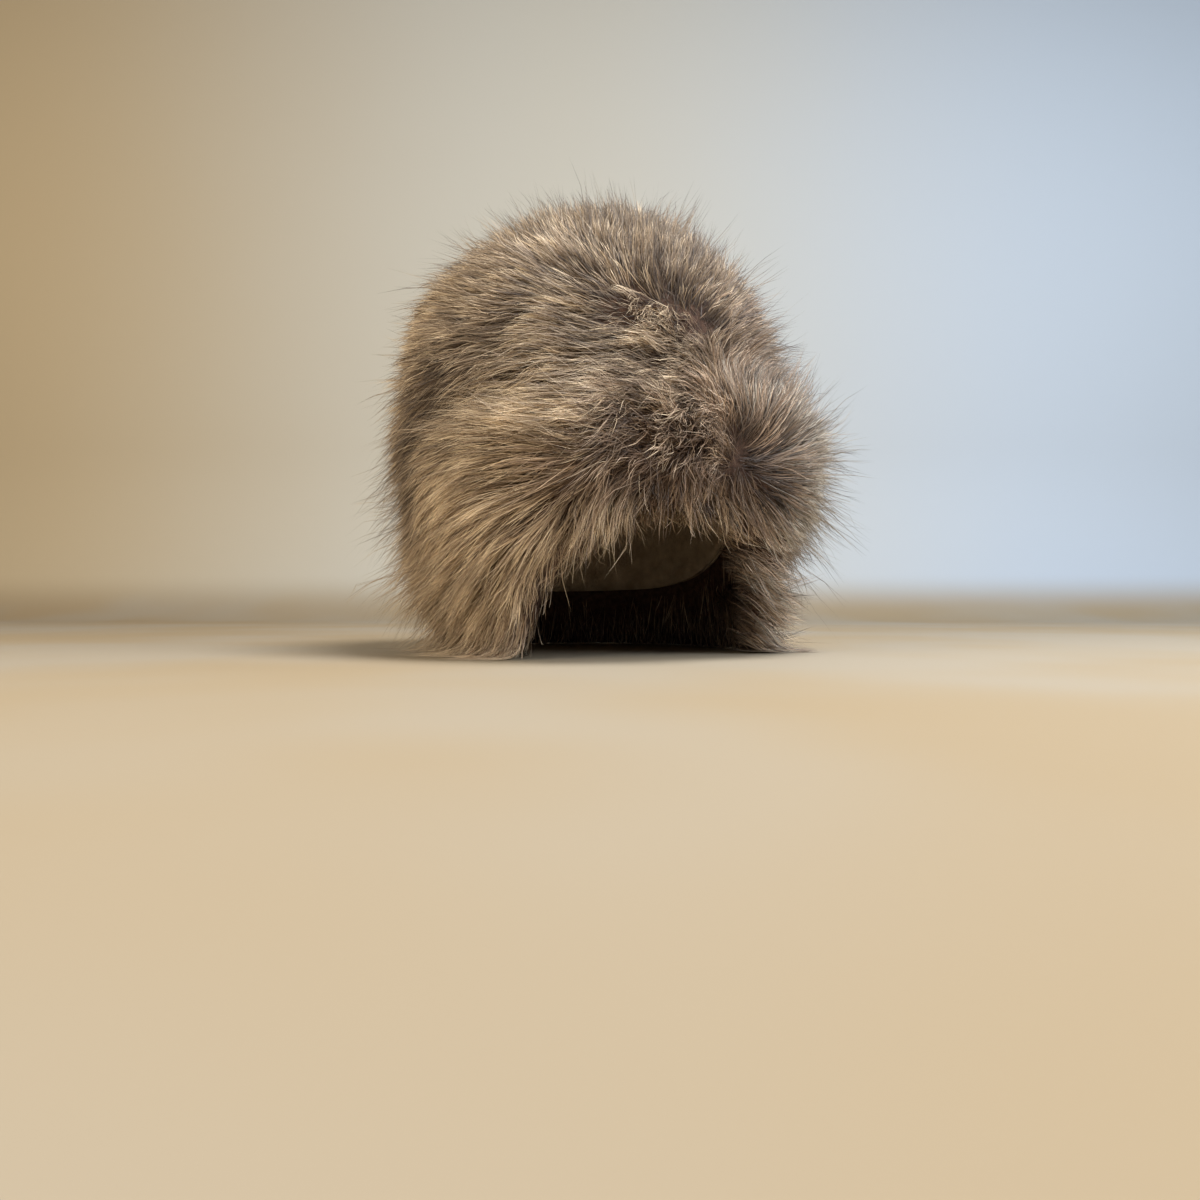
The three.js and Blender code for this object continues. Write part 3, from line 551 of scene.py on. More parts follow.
def locks(
    rng, count, per, where, points, width, longer=1.0, depth=19.0, spread=2.1, gather=0.9,
    raise_by=0.0, raise_more=1.6, stray=0.3, over=7.0, in_parting=0.1, fluff=0.0,
):
    """Locks of hair: a number of hairs round each line that follows the way the hair lies."""
    seeds = grow(rng, count, where)
    near = bare(seeds)
    keep = rng.uniform(0, 1, count) > near * (1 - in_parting)
    keep &= seeds[:, 2] - edge_z(phi_of(seeds)) > arch_limit(seeds) + 3.0
    seeds, near = seeds[keep], near[keep]
    count = len(seeds)
    _, facts = flow(seeds)
    mess = facts[:, 3]
    length = facts[:, 0] * longer * rng.uniform(0.8, 1.15, count)
    own_turn = np.radians(7 + 0.75 * np.maximum(mess - 15, 0)) * rng.normal(size=count)
    pts, outs, alongs = trace(seeds, length * 1.15, 6, own_turn, 1.0)
    # how far each hair may run before it hangs too far past the brim's edge
    drop = pts[..., 2] - edge_z(phi_of(pts))
    top = np.clip((seeds[:, 2] - 225) / 40, 0, 1)  # the hair on top is finer and more even
    # The -0.18 * top term darkens the hair on top: painted shade, toning down the strong light from above.
    tone = tone_at(pts[:, 1], facts) + (0.21 - 0.10 * top + 0.10 * (mess > 35)) * rng.normal(size=count) - 0.18 * top
    hue_tip = coat(seeds)
    # The hollow noise lowers the locks here and darkens their tone in tone_at: painted shade in the hollows.
    lift = 0.45 * facts[:, 1] + raise_by - 1.0 + 2.4 * rng.normal(size=count) + 2.4 * noise(pts[:, 3], 10, "hollow")
    lift = lift + np.clip((mess - 30) / 12, 0, 2) * (noise(pts[:, 3], 6, "knots") * 2 + rng.normal(size=count))
    lift = lift + loose(seeds) * rng.gamma(1.2, 3.0, count) * (raise_by > -2)
    lift = lift - 3.0 * bare(seeds, 9.0) + fluff * stand_off(seeds) * rng.gamma(2.0, 0.5, count)
    root = bare(seeds, 11.0)  # by the parting the roots are seen: lighter, and not so deep
    curl = rng.normal(size=count) * 1.1
    curl_at = rng.uniform(0, 2 * np.pi, count)
    g = np.repeat(np.arange(count), per)
    n = len(g)
    reach = rng.uniform(0.62, 1.0, n)
    allowed = (arch_limit(pts[:, 3]) + 2.5 * rng.normal(size=count))[g] - rng.gamma(2.0, over / 2.0, n)
    past = drop[g] < allowed[:, None]
    first = np.argmax(past, 1)
    rows = np.arange(n)
    before = np.maximum(first - 1, 0)
    d0, d1 = drop[g, before], drop[g, first]
    cut = (before + np.clip((d0 - allowed) / np.maximum(d0 - d1, 1e-6), 0, 1)) / (pts.shape[1] - 1)
    reach = np.where(past.any(1), np.minimum(reach, np.maximum(cut, 0.12)), reach)[:, None]
    short = np.clip(reach / 0.5, 0.25, 1)
    s = np.linspace(0, 1, points)[None, :] ** 0.92
    base = resample(pts[g], s * reach)
    out = unit(resample(outs[g], s * reach))
    along = unit(resample(alongs[g], s * reach))
    side = np.cross(out, along)
    close = 1 - (gather * rng.uniform(0.75, 1.15, n))[:, None] * s**1.3
    across = (rng.normal(size=n) * spread)[:, None] * close
    off = np.radians(mess[g] * stray + 2) * rng.normal(size=n) * np.where(rng.uniform(0, 1, n) < 0.2 + 0.4 * (mess[g] > 35), 2.0, 0.35)
    across = across + (np.clip(off, -1, 1) * length[g])[:, None] * reach * s**1.5
    deep = -(depth * rng.uniform(0.45, 1.15, n) * (1 - 0.6 * root[g]))[:, None] * short
    tips = (lift[g] + raise_more * rng.normal(size=n))[:, None] * short
    own = (rng.normal(size=n) * 1.6)[:, None]
    height = deep * (1 - s) ** 1.3 + tips * s**1.4 + own * close
    phase = rng.uniform(0, 6.3, n)[:, None]
    wave = (curl[g][:, None] * np.sin(curl_at[g][:, None] + 5.2 * s) + 0.75 * rng.normal(size=n)[:, None] * np.sin(phase + 9 * s)) * s
    start = (rng.normal(size=n) * spread * 1.3)[:, None] * (1 - 0.5 * s)
    P = base + side * (across + wave)[..., None] + out * height[..., None] + along * start[..., None]
    P = settle(P)
    roll = rng.normal(size=n) * 0.6
    return dict(
        P=P, side=side, out=out, roll=roll, tone=tone[g] + 0.15 * rng.normal(size=n), reach=reach[:, 0],
        width=width * rng.uniform(0.75, 1.25, n) * (1 - 0.15 * top[g]), hue=hue_tip[g, 0] + near[g] * (2.0 - hue_tip[g, 0]), tip=hue_tip[g, 1], bare=near[g],
        root=0.55 * root[g],
    )


# ------------------------------------------------------------------ meshes
def ribbons(name, rng, h, material, taper=0.35):
    """One mesh of flat tapering hairs. The bake map holds tone and tip across, hue and root to tip up."""
    P, side, out, roll, tone, width, tip, hue = (h[x] for x in ("P", "side", "out", "roll", "tone", "width", "tip", "hue"))
    n, k = P.shape[:2]
    c, s = np.cos(roll)[:, None, None], np.sin(roll)[:, None, None]
    across = unit(side * c + out * s)
    shape = np.linspace(0, 1, k)
    shape = np.where(shape < taper, 0.75 + 0.25 * shape / taper, 1 - 0.55 * (shape - taper) / (1 - taper))
    half = (width[:, None] * 0.5 * shape[None, :])[..., None] * across
    left = P[:, :-1] - half[:, :-1]
    right = P[:, :-1] + half[:, :-1]
    verts = np.concatenate([np.stack([left, right], 2).reshape(n, -1, 3), P[:, -1:]], 1)
    per = 2 * (k - 1) + 1
    quads = [(2 * i, 2 * i + 1, 2 * i + 3, 2 * i + 2) for i in range(k - 2)]
    loops = np.array([v for q in quads for v in q] + [2 * (k - 2), 2 * (k - 2) + 1, 2 * (k - 1)])
    sizes = np.array([4] * len(quads) + [3])
    starts = np.concatenate([[0], np.cumsum(sizes)[:-1]])
    base = (np.arange(n) * per)[:, None]
    all_loops = (loops[None] + base).ravel()
    all_starts = (starts[None] + (np.arange(n) * len(loops))[:, None]).ravel()
    co = ((verts.reshape(-1, 3) + AXIS) * MM).astype(np.float32)
    mesh = bpy.data.meshes.new(name)
    mesh.vertices.add(len(co))
    mesh.vertices.foreach_set("co", co.ravel())
    mesh.loops.add(len(all_loops))
    mesh.loops.foreach_set("vertex_index", all_loops.astype(np.int32))
    mesh.polygons.add(len(all_starts))
    mesh.polygons.foreach_set("loop_start", all_starts.astype(np.int32))
    mesh.polygons.foreach_set("use_smooth", np.ones(len(all_starts), bool))
    uv = mesh.uv_layers.new(name="OFBake")
    level = np.clip(np.floor(np.clip(tone, 0, 0.999) * 16), 0, 15)
    u = (level + 0.08 + 0.84 * np.clip(tip, 0, 1)) / 16
    band = np.clip(np.floor(hue + rng.uniform(0, 1, n)), 0, 3)
    v = np.concatenate([np.repeat(np.linspace(0, 1, k)[:-1], 2), [1.0]])
    root = h["root"][:, None]
    v = root + (1 - root) * v[None] * h["reach"][:, None] ** 0.6
    v = (v * 0.92 + 0.04 + band[:, None]) / 4
    edge = np.concatenate([np.tile([-0.0006, 0.0006], k - 1), [0.0]])
    uvs = np.stack([u[:, None] + edge[None], v], -1)
    uv.data.foreach_set("uv", uvs.reshape(-1, 2)[all_loops].astype(np.float32).ravel())
    mesh.update(calc_edges=True)
    mesh.materials.append(material)
    ob = bpy.data.objects.new(name, mesh)
    bpy.context.collection.objects.link(ob)
    return ob


def grid_mesh(name, rings, material, wrap=True, pole_top=False):
    """A closed mesh through rings of points; wrap joins the last ring to the first."""
    k, n = rings.shape[:2]
    verts = rings.reshape(-1, 3)
    faces = []
    last = k if wrap else k - 1
    for a in range(last):
        b = (a + 1) % k
        for j in range(n):
            m = (j + 1) % n
            faces.append((a * n + j, b * n + j, b * n + m, a * n + m))
    if pole_top:
        verts = np.concatenate([verts, rings[0].mean(0)[None], rings[-1].mean(0)[None]])
        top, end = k * n, k * n + 1
        for j in range(n):
            m = (j + 1) % n
            faces.append((top, j, m))
            faces.append((end, (k - 1) * n + m, (k - 1) * n + j))
    mesh = bpy.data.meshes.new(name)
    mesh.from_pydata(((verts + AXIS) * MM).tolist(), [], faces)
    mesh.polygons.foreach_set("use_smooth", np.ones(len(mesh.polygons), bool))
    mesh.update()
    mesh.materials.append(material)
    ob = bpy.data.objects.new(name, mesh)
    bpy.context.collection.objects.link(ob)
    return ob


# ------------------------------------------------------------------ materials
def new_material(name):
    m = bpy.data.materials.new(name)
    m.use_nodes = True
    nt = m.node_tree
    bsdf = next(x for x in nt.nodes if x.type == "BSDF_PRINCIPLED")
    return m, nt, bsdf


def math_node(nt, op, a, b=None, c=None):
    x = nt.nodes.new("ShaderNodeMath")
    x.operation = op
    for i, v in enumerate((a, b, c)):
        if v is None:
            continue
        if isinstance(v, (int, float)):
            x.inputs[i].default_value = v
        else:
            nt.links.new(v, x.inputs[i])
    return x.outputs[0]


def ramp(nt, fac, stops):
    x = nt.nodes.new("ShaderNodeValToRGB")
    x.color_ramp.interpolation = "EASE"
    el = x.color_ramp.elements
    while len(el) < len(stops):
        el.new(0.5)
    for e, (pos, col) in zip(el, stops):
        e.position = pos
        e.color = (*linear(col), 1)
    nt.links.new(fac, x.inputs[0])
    return x.outputs[0]


def linear(col):
    return tuple(((c / 255 + 0.055) / 1.055) ** 2.4 if c > 10 else c / 255 / 12.92 for c in col)


def mix(nt, fac, a, b, mode="MIX"):
    x = nt.nodes.new("ShaderNodeMix")
    x.data_type = "RGBA"
    x.blend_type = mode
    for sock, v in ((x.inputs[0], fac), (x.inputs[6], a), (x.inputs[7], b)):
        if isinstance(v, (int, float)):
            sock.default_value = v
        elif isinstance(v, tuple):
            sock.default_value = (*v, 1)
        else:
            nt.links.new(v, sock)
    return x.outputs[2]


# Tints for the four hues; the grey hue's blue cast is partly the coat's own grey, partly painted cool light from the
# right on the lobe.
TINTS = [(1.0, 0.94, 0.825), (1.0, 0.95, 0.87), (0.99, 0.90, 0.86), (0.84, 0.91, 1.0)]


def hair_material(name, dark, light, tip_col):
    """Colour from root to tip for dark and light hairs, mixed by tone, tinted by hue, with darker tips on some."""
    m, nt, bsdf = new_material(name)
    uv = nt.nodes.new("ShaderNodeUVMap")
    uv.uv_map = "OFBake"
    sep = nt.nodes.new("ShaderNodeSeparateXYZ")
    nt.links.new(uv.outputs[0], sep.inputs[0])
    u16 = math_node(nt, "MULTIPLY", sep.outputs[0], 16)
    tone = math_node(nt, "DIVIDE", math_node(nt, "FLOOR", u16), 15)
    tip = math_node(nt, "DIVIDE", math_node(nt, "SUBTRACT", math_node(nt, "FRACT", u16), 0.08), 0.84)
    v4 = math_node(nt, "MULTIPLY", sep.outputs[1], 4)
    v = math_node(nt, "DIVIDE", math_node(nt, "SUBTRACT", math_node(nt, "FRACT", v4), 0.04), 0.92)
    col = mix(nt, tone, ramp(nt, v, dark), ramp(nt, v, light))
    tint = nt.nodes.new("ShaderNodeValToRGB")
    tint.color_ramp.interpolation = "CONSTANT"
    el = tint.color_ramp.elements
    while len(el) < 4:
        el.new(0.5)
    for k in range(4):
        el[k].position = max(0.0, k / 4 - 0.001)
        el[k].color = (*TINTS[k], 1)
    nt.links.new(math_node(nt, "DIVIDE", math_node(nt, "FLOOR", v4), 4), tint.inputs[0])
    col = mix(nt, 1.0, col, tint.outputs[0], "MULTIPLY")
    reach = math_node(nt, "MULTIPLY_ADD", tip, -0.6, 1.0)
    amount = nt.nodes.new("ShaderNodeMapRange")
    amount.interpolation_type = "SMOOTHSTEP"
    nt.links.new(v, amount.inputs[0])
    nt.links.new(reach, amount.inputs[1])
    nt.links.new(math_node(nt, "ADD", reach, 0.28), amount.inputs[2])
    strength = math_node(nt, "MULTIPLY", amount.outputs[0], math_node(nt, "MULTIPLY", tip, 0.92))
    col = mix(nt, strength, col, linear(tip_col))
    nt.links.new(col, bsdf.inputs["Base Color"])
    rough = math_node(nt, "MULTIPLY_ADD", tone, -0.12, 0.58)
    nt.links.new(rough, bsdf.inputs["Roughness"])
    bsdf.inputs["Specular IOR Level"].default_value = 0.3
    return m


def fluff_material(name, low, high, size):
    """Short woolly hair or suede: mottled, with a fine bump."""
    m, nt, bsdf = new_material(name)
    pos = nt.nodes.new("ShaderNodeTexCoord")
    n1 = nt.nodes.new("ShaderNodeTexNoise")
    n1.inputs["Scale"].default_value = size
    n1.inputs["Detail"].default_value = 5.0
    n1.inputs["Roughness"].default_value = 0.65
    nt.links.new(pos.outputs["Object"], n1.inputs["Vector"])
    col = ramp(nt, n1.outputs["Fac"], [(0.3, low), (0.7, high)])
    nt.links.new(col, bsdf.inputs["Base Color"])
    n2 = nt.nodes.new("ShaderNodeTexNoise")
    n2.inputs["Scale"].default_value = size * 6
    n2.inputs["Detail"].default_value = 4.0
    nt.links.new(pos.outputs["Object"], n2.inputs["Vector"])
    bump = nt.nodes.new("ShaderNodeBump")
    bump.inputs["Strength"].default_value = 0.5
    bump.inputs["Distance"].default_value = 0.001
    nt.links.new(n2.outputs["Fac"], bump.inputs["Height"])
    nt.links.new(bump.outputs[0], bsdf.inputs["Normal"])
    rough = math_node(nt, "MULTIPLY_ADD", n1.outputs["Fac"], 0.15, 0.8)
    nt.links.new(rough, bsdf.inputs["Roughness"])
    bsdf.inputs["Specular IOR Level"].default_value = 0.2
    return m


# Root to tip; the dark roots are partly the hair's own darker base, partly painted shade deep in the coat.
DARK_HAIR = [(0.0, (38, 27, 21)), (0.45, (62, 49, 39)), (0.8, (108, 89, 72)), (1.0, (104, 86, 70))]
LIGHT_HAIR = [(0.0, (80, 65, 52)), (0.45, (172, 149, 124)), (0.8, (246, 226, 198)), (1.0, (250, 236, 214))]
CROWN_HAIR = hair_material("crown_hair", DARK_HAIR, LIGHT_HAIR, (60, 51, 46))
BRIM_HAIR = hair_material("brim_hair", DARK_HAIR, LIGHT_HAIR, (72, 64, 62))
GUARD_HAIR = hair_material("guard_hair", DARK_HAIR, LIGHT_HAIR, (46, 39, 37))
# The underfur layer is real; its dark brown is painted shade deep between the hairs.
WOOL = fluff_material("underfur", (46, 31, 24), (86, 63, 50), 260)
SUEDE = fluff_material("suede", (148, 128, 104), (176, 156, 130), 90)

# ------------------------------------------------------------------ underfur: what shows between the hairs
UNDER = 14.0  # mm from the fur's surface to the underfur


def theta_of(phi, z):
    """Angle down from the top, seen from the middle, of the surface at a height."""
    out = np.empty(len(phi))
    for a, (p, h) in enumerate(zip(phi, z)):
        i = int(round((p + 180) / 360 * (N_PHI - 1))) % (N_PHI - 1)
        out[a] = np.interp(-h, -GRID[i, :, 2], THETA)
    return out


def along_theta(phi, theta, share):
    """A ring under the hair: UNDER deep, or deeper where the hair itself lies deep."""
    i = (phi + 180) / 360 * (N_PHI - 1)
    j = theta / THETA_END * (N_THETA - 1)
    i = np.clip(i, 0, N_PHI - 1.001)
    j = np.clip(j, 0, N_THETA - 1.001)
    P = from_grid(GRID, i, j)
    out = unit(from_grid(NORMALS, i, j))
    inset = np.clip(from_grid(RHO - HAIR_RHO, i, j) + 9, UNDER, 32) * share
    return P - out * inset[..., None]


def shell_profile(count):
    a = np.linspace(0, np.pi / 2, count)
    share = np.sin(a) ** 0.92
    z = SHELL_SHOULDER + (SHELL_TOP - SHELL_SHOULDER) * np.cos(a) ** 0.92
    return share, z


ROUND = 96
phis = -180 + 360 * np.arange(ROUND) / ROUND
_sin, _cos = np.sin(np.radians(phis)), np.cos(np.radians(phis))


def at(r, z):
    return np.stack([r * _sin, -r * _cos, np.broadcast_to(z, r.shape)], -1)


def head_oval(extra, share=1.0):
    return oval(phis, *(share * HEAD_HALF_WIDTH + extra,) * 2, *(share * HEAD_HALF_LENGTH + extra,) * 2)


def crown_underfur():
    end = theta_of(phis, seam_z(phis) + 3)
    rings = []
    for u in np.linspace(0.03, 1, 26):
        rings.append(along_theta(phis, end * u, 1))
    share, z = shell_profile(24)
    zs = seam_z(phis) + 6
    inner = []
    for u in np.linspace(1, 0.08, 12):
        # from the seam's height up to the top, on the outside of the shell
        zz = zs + (SHELL_TOP - zs) * np.sqrt(1 - u * u) * 0.995
        sh = np.interp(-zz, -z, share)
        inner.append(at(head_oval(3.2, 1.0) * 0 + (head_oval(0) * sh + 3.2), zz + 3.0 * (1 - sh)))
    rings += inner
    return grid_mesh("crown_underfur", np.stack(rings), WOOL, wrap=False, pole_top=True)


def brim_underfur():
    top = theta_of(phis, seam_z(phis) - 2)
    corners = 12 * np.exp(-(((phis + 58) / 8) ** 2)) + 8 * np.exp(-(((phis - 46) / 7) ** 2))
    lifted = 12 * arch_share(phis) + corners
    low = theta_of(phis, edge_z(phis) + 4 + lifted)
    rings = []
    for u in np.linspace(0, 1, 18):
        rings.append(along_theta(phis, top + (low - top) * u, 1 - 0.35 * u**4))
    ze, zr = edge_z(phis) + 1.5 + lifted, rim_z(phis)
    r0 = band_r(phis) + BRIM_FLARE * (zr - ze) + 1.5
    rings[-1][:, 2] = np.maximum(rings[-1][:, 2], ze)
    rings.append(at((r0 + np.linalg.norm(rings[-1][:, :2], axis=-1)) / 2, ze))
    for u in np.linspace(0, 1, 5):
        rings.append(at(r0 + (band_r(phis) + 0.6 - r0) * u, ze + (zr - ze) * u))
    zt = seam_z(phis) - 2
    for u in np.linspace(0.25, 1, 4):
        z = zr + (zt - zr) * u
        share, zp = shell_profile(60)
        sh = np.where(z > SHELL_SHOULDER, np.interp(-z, -zp, share), 1.0)
        rings.append(at(head_oval(0) * sh + 6.0, z))
    return grid_mesh("brim_underfur", np.stack(rings), WOOL, wrap=True)


def skin_dome():
    share, z = shell_profile(34)
    rings = []
    zr = rim_z(phis)
    for w in (SHELL_WALL, 0.0):
        lines = []
        for i in range(2, len(z)):
            sh = share[i]
            n = np.hypot(0.9 * sh + 0.1, 1 - sh + 0.05)
            lines.append(at(head_oval(0) * sh + w * (0.9 * sh + 0.1) / n, z[i] + w * (1 - sh) / n))
        for u in np.linspace(0.12, 1, 8):
            lines.append(at(head_oval(w), SHELL_SHOULDER + (zr - SHELL_SHOULDER) * u))
        rings.append(lines)
    return grid_mesh("skin_dome", np.stack(rings[0] + rings[1][::-1]), SUEDE, wrap=False, pole_top=True)


def skin_band():
    zr, zt = rim_z(phis), seam_z(phis) + 3.5
    share, zp = shell_profile(60)
    a, b = SHELL_WALL + GAP, SHELL_WALL + GAP + BAND_WALL
    rings = []
    for extra, us in ((b, np.linspace(0, 1, 8)), (a, np.linspace(1, 0, 8))):
        for u in us:
            z = zt + (zr - zt) * u
            sh = np.where(z > SHELL_SHOULDER, np.interp(-z, -zp, share), 1.0)
            rings.append(at(head_oval(0) * sh + extra, z))
    return grid_mesh("skin_band", np.stack(rings), SUEDE, wrap=True)


dome, band = skin_dome(), skin_band()
under_crown, under_brim = crown_underfur(), brim_underfur()


# ------------------------------------------------------------------ the hair itself
hair = []
rng = np.random.default_rng(11)


def add_hair(name, node, material, h):
    hair.append((ribbons(name, rng, h, material), node))


for name, where, material, node, count, longer in (
    ("crown_hair_a", IS_CROWN, CROWN_HAIR, "crown_fur", 2680, 0.82),
    ("crown_hair_b", IS_CROWN, CROWN_HAIR, "crown_fur", 2680, 0.82),
    ("brim_hair_a", IS_BRIM, BRIM_HAIR, "brim_fur", 2950, 0.95),
    ("brim_hair_b", IS_BRIM, BRIM_HAIR, "brim_fur", 2950, 0.95),
):
    h = locks(rng, count, 8, where, 5, 0.50, longer=longer, gather=0.8)
    h["tip"] = np.clip(h["tip"] * rng.uniform(0.2, 1.6, len(h["tip"])), 0, 1)
    add_hair(name, node, material, h)

# shorter hair that fills between the locks, darker there as painted shade, lighter by the parting
for name, where, material, node, count in (
    ("crown_fill", IS_CROWN, CROWN_HAIR, "crown_fur", 4800),
    ("brim_fill", IS_BRIM, BRIM_HAIR, "brim_fur", 5200),
):
    h = locks(rng, count, 5, where, 3, 0.75, longer=0.62, spread=2.6, gather=0.3, raise_by=-8.0, over=1.0, in_parting=1.0)
    h["tone"] += -0.33 + 0.55 * h["bare"]
    h["hue"] += h["bare"] * (2.0 - h["hue"])
    h["tip"] = h["tip"] * 0
    add_hair(name, node, material, h)

# long single guard hairs that stand off
for name, where, node, count, longer, fluff in (
    ("crown_guard", IS_CROWN, "crown_fur", 6300, 1.0, 7.5),
    ("brim_guard", IS_BRIM, "brim_fur", 6200, 1.15, 9.0),
):
    h = locks(
        rng, count, 2, where, 4, 0.30, longer=longer, depth=12, spread=1.0, gather=0.5,
        raise_by=1.0, raise_more=2.0, stray=0.7, over=12.0, fluff=fluff,
    )
    h["tip"] = np.clip(0.35 + h["tip"] * rng.uniform(0.5, 1.3, len(h["tip"])), 0, 1)
    h["tone"] = np.minimum(h["tone"], 0.6)
    add_hair(name, node, GUARD_HAIR, h)


def hanging(rng, count):
    """Hair inside the brim and along its edge, hanging down past the skin's edge."""
    phi = rng.uniform(-180, 180, count)
    zr, ze = rim_z(phi), edge_z(phi)
    inner = band_r(phi) + 1.0
    outer = edge_r(phi)
    mixr = rng.uniform(0, 1, count) ** 1.4
    r = inner + (outer - inner) * mixr
    z0 = ze + 8 + (zr - ze - 6) * rng.uniform(0, 1, count) * (1 - 0.6 * mixr)
    length = rng.uniform(16, 34, count)
    sweep = 0.30 * np.exp(-(((phi - 34) / 20) ** 2)) - 0.08 * np.exp(-(((phi + 48) / 16) ** 2))
    s = np.linspace(0, 1, 4)[None]
    drop = length[:, None] * s
    z = z0[:, None] - drop
    rr = r[:, None] + BRIM_FLARE * drop + rng.normal(size=count)[:, None] * 3 * s + 15 * np.maximum(sweep, 0)[:, None] * s
    ph = np.radians(phi)[:, None] + (rng.normal(size=count) * 0.05 + sweep)[:, None] * s**1.2
    floor_ = np.where(ze < 1, 1.0, ze + 1 + 11 * arch_share(phi) + rng.normal(size=count) * 5)[:, None]
    z = np.maximum(z, floor_ + 0.3 * (z - floor_))
    z = np.maximum(z, 0.8)
    P = np.stack([rr * np.sin(ph), -rr * np.cos(ph), z], -1)
    out = unit(np.stack([np.sin(ph) * np.ones_like(s), -np.cos(ph) * np.ones_like(s), np.zeros_like(rr)], -1))
    along = unit(np.gradient(P, axis=1))
    side = unit(np.cross(out, along))
    tone = 0.36 + 0.10 * noise(P[:, 1], 12, "tone2") + 0.16 * rng.normal(size=count) + 1.1 * np.maximum(sweep, 0)
    return dict(
        P=P, side=side, out=out, roll=rng.normal(size=count) * 0.9, tone=tone,
        width=0.6 * rng.uniform(0.7, 1.3, count), hue=rng.uniform(0.6, 2.0, count) + 2 * np.maximum(sweep, 0), tip=np.zeros(count),
        reach=np.ones(count), root=np.full(count, 0.15),
    )


def cheek(rng, clumps, per):
    """Long locks along the front edge of the lobe by the wearer's left cheek, swept out over its cut side."""
    phi = rng.uniform(16, 56, clumps)
    ze, zr = edge_z(phi), rim_z(phi)
    g = np.repeat(np.arange(clumps), per)
    n = len(g)
    z0 = (ze + 1 + 0.5 * (zr - ze) * rng.uniform(0, 1, clumps) ** 2)[g] + rng.normal(size=n) * 1.5
    p0 = np.radians(phi[g] + rng.normal(size=n) * 1.5)
    r0 = (band_r(phi) + rng.uniform(-2, 18, clumps))[g] + rng.normal(size=n) * 1.5
    length = (rng.uniform(22, 52, clumps) * (0.7 + 0.3 * np.clip((60 - ze) / 60, 0, 1)))[g] * rng.uniform(0.7, 1.05, n)
    zero = np.zeros(n)
    start = np.stack([r0 * np.sin(p0), -r0 * np.cos(p0), z0], -1)
    tangent = np.stack([np.cos(p0), np.sin(p0), zero], -1)
    out = np.stack([np.sin(p0), -np.cos(p0), zero], -1)
    up = np.stack([zero, zero, zero + 1], -1)
    share = (0.5 + 0.22 * rng.normal(size=clumps))[g]
    dip = (-0.22 + 0.30 * rng.normal(size=clumps))[g] + 0.07 * rng.normal(size=n)
    way = unit(tangent * share[:, None] + out * 0.8 + up * dip[:, None])
    s = np.linspace(0, 1, 5)[None, :, None]
    P = start[:, None] + way[:, None] * (length[:, None, None] * s)
    P = P + up[:, None] * ((-4 + 5 * rng.normal(size=clumps))[g][:, None, None] * s**2)
    along = unit(np.gradient(P, axis=1))
    side = unit(np.cross(np.broadcast_to(up[:, None], along.shape), along))
    P = P + np.cross(along, side) * (rng.normal(size=n)[:, None, None] * 2.2 * (1 - 0.9 * s))
    P = settle(P)
    return dict(
        P=P, side=np.cross(along, side), out=side, roll=rng.normal(size=n) * 0.8,
        tone=(0.56 + 0.12 * rng.normal(size=clumps))[g] + 0.10 * rng.normal(size=n), width=0.5 * rng.uniform(0.7, 1.2, n),
        hue=rng.uniform(1.5, 3.0, clumps)[g], tip=np.clip(0.7 * rng.uniform(0.4, 1.3, n), 0, 1),
        reach=np.ones(n), root=np.zeros(n),
    )


add_hair("edge_hair", "brim_fur", BRIM_HAIR, hanging(rng, 8200))
add_hair("cheek_hair", "brim_fur", BRIM_HAIR, cheek(rng, 230, 9))

# ------------------------------------------------------------------ what rides and replaces what
for ob, node in hair:
    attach(ob, "root")
    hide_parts(node)
for ob, node, slot in (
    (under_crown, "crown_fur", "crown_fur"),
    (under_brim, "brim_fur", "brim_fur"),
    (dome, "crown_shell", "shell_skin"),
    (band, "brim_band", "band_skin"),
):
    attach(ob, "root")
    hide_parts(node)


# ------------------------------------------------------------------ floor, backdrop and light
FLOOR_START, WALL_AT, SWEEP = -1.6, 0.9, 0.35


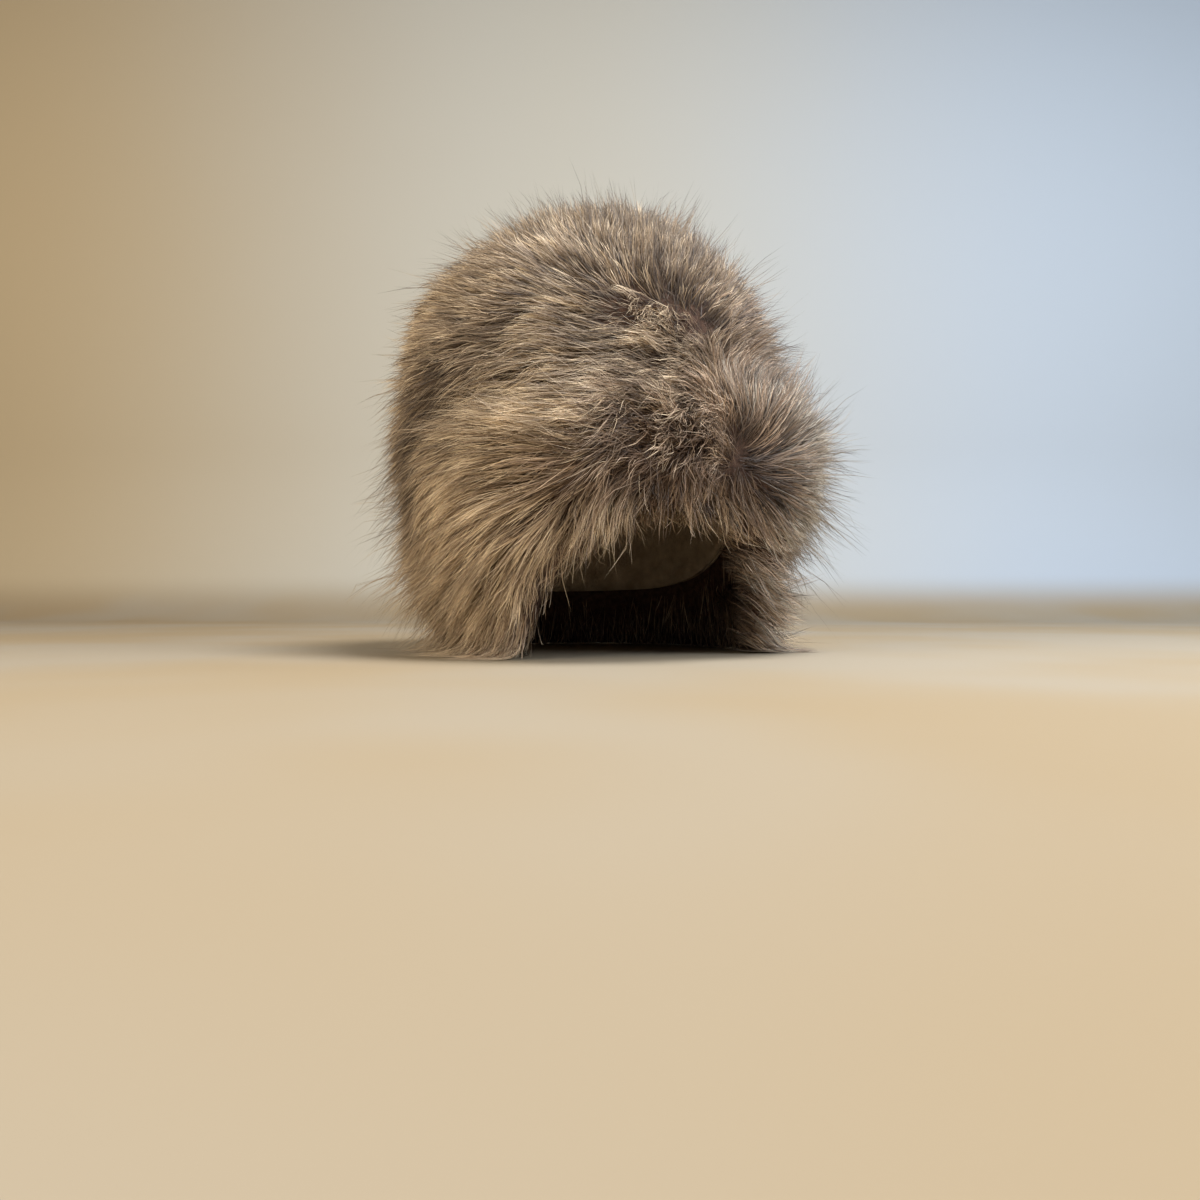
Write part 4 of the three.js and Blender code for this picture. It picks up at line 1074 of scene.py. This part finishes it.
def backdrop():
    """A pale floor that curves up into a wall behind, square to the camera."""
    m, nt, bsdf = new_material("backdrop")
    pos = nt.nodes.new("ShaderNodeTexCoord")
    n = nt.nodes.new("ShaderNodeTexNoise")
    n.inputs["Scale"].default_value = 3.0
    nt.links.new(pos.outputs["Object"], n.inputs["Vector"])
    ground = ramp(nt, n.outputs["Fac"], [(0.35, (152, 134, 107)), (0.65, (153, 141, 123))])
    sep = nt.nodes.new("ShaderNodeSeparateXYZ")
    nt.links.new(pos.outputs["Object"], sep.inputs[0])
    # the wall goes from a warm pale on the camera's left to a cool pale on its right: painted light, the warm
    # lamplight from the left and the cool light from the right
    across = math_node(nt, "ADD", math_node(nt, "MULTIPLY", sep.outputs[0], math.cos(turn)), math_node(nt, "MULTIPLY", sep.outputs[1], math.sin(turn)))
    across = math_node(nt, "ADD", across, math_node(nt, "MULTIPLY", n.outputs["Fac"], 0.1))
    wall = ramp(nt, math_node(nt, "MULTIPLY_ADD", across, 0.4, 0.5), [(0.0, (178, 160, 130)), (0.45, (184, 180, 170)), (0.9, (176, 184, 194))])
    up = nt.nodes.new("ShaderNodeMapRange")
    up.interpolation_type = "SMOOTHSTEP"
    up.inputs[1].default_value = 0.01
    up.inputs[2].default_value = 0.09
    nt.links.new(sep.outputs[2], up.inputs[0])
    nt.links.new(mix(nt, up.outputs[0], ground, wall), bsdf.inputs["Base Color"])
    bsdf.inputs["Roughness"].default_value = 0.75
    bsdf.inputs["Specular IOR Level"].default_value = 0.2
    away = np.array([-math.sin(turn), math.cos(turn), 0.0])
    right = np.array([math.cos(turn), math.sin(turn), 0.0])
    line = [(FLOOR_START, 0.0), (WALL_AT, 0.0)]
    for k in range(1, 13):
        a = math.pi / 2 * k / 12
        line.append((WALL_AT + SWEEP * math.sin(a), SWEEP * (1 - math.cos(a))))
    line.append((WALL_AT + SWEEP, 2.6))
    verts, faces = [], []
    for d, z in line:
        for s in (-2.6, 2.6):
            p = away * d + right * s
            verts.append((p[0], p[1], z))
    for k in range(len(line) - 1):
        faces.append((2 * k, 2 * k + 1, 2 * k + 3, 2 * k + 2))
    mesh = bpy.data.meshes.new("floor")
    mesh.from_pydata(verts, [], faces)
    mesh.polygons.foreach_set("use_smooth", np.ones(len(faces), bool))
    mesh.materials.append(m)
    ob = bpy.data.objects.new("floor", mesh)
    bpy.context.collection.objects.link(ob)


backdrop()


def lamp(name, where, aim, size, power, colour):
    from mathutils import Vector

    data = bpy.data.lights.new(name, "AREA")
    data.shape = "DISK"
    data.size = size
    data.energy = power
    data.color = colour
    ob = bpy.data.objects.new(name, data)
    bpy.context.collection.objects.link(ob)
    ob.location = where
    ob.rotation_euler = (Vector(aim) - Vector(where)).to_track_quat("-Z", "Y").to_euler()


def beside(right, away, up):
    """A place given from the camera's side: to the right, away from it, up."""
    return (
        math.cos(turn) * right - math.sin(turn) * away,
        math.sin(turn) * right + math.cos(turn) * away,
        up,
    )


lamp("top", beside(0.4, -0.4, 1.35), (0, 0, 0.12), 0.6, 28, (0.98, 0.99, 1.0))
lamp("window", beside(1.2, -0.75, 0.75), (0, 0, 0.15), 0.7, 17, (0.84, 0.92, 1.0))
lamp("room", beside(-1.0, -1.0, 0.65), (0, 0, 0.13), 0.8, 15.5, (1.0, 0.92, 0.76))
lamp("wall_left", beside(-1.6, 0.2, 1.0), beside(-0.7, 1.25, 0.5), 0.8, 4.4, (1.0, 0.80, 0.52))
lamp("wall_right", beside(1.5, 0.1, 1.0), beside(0.6, 1.25, 0.6), 0.8, 9, (0.74, 0.87, 1.0))

world = bpy.data.worlds.new("world")
bpy.context.scene.world = world
world.use_nodes = True
bg = next(x for x in world.node_tree.nodes if x.type == "BACKGROUND")
bg.inputs[0].default_value = (0.93, 0.95, 1.0, 1)
bg.inputs[1].default_value = 0.17

bpy.context.scene.view_settings.view_transform = "Standard"
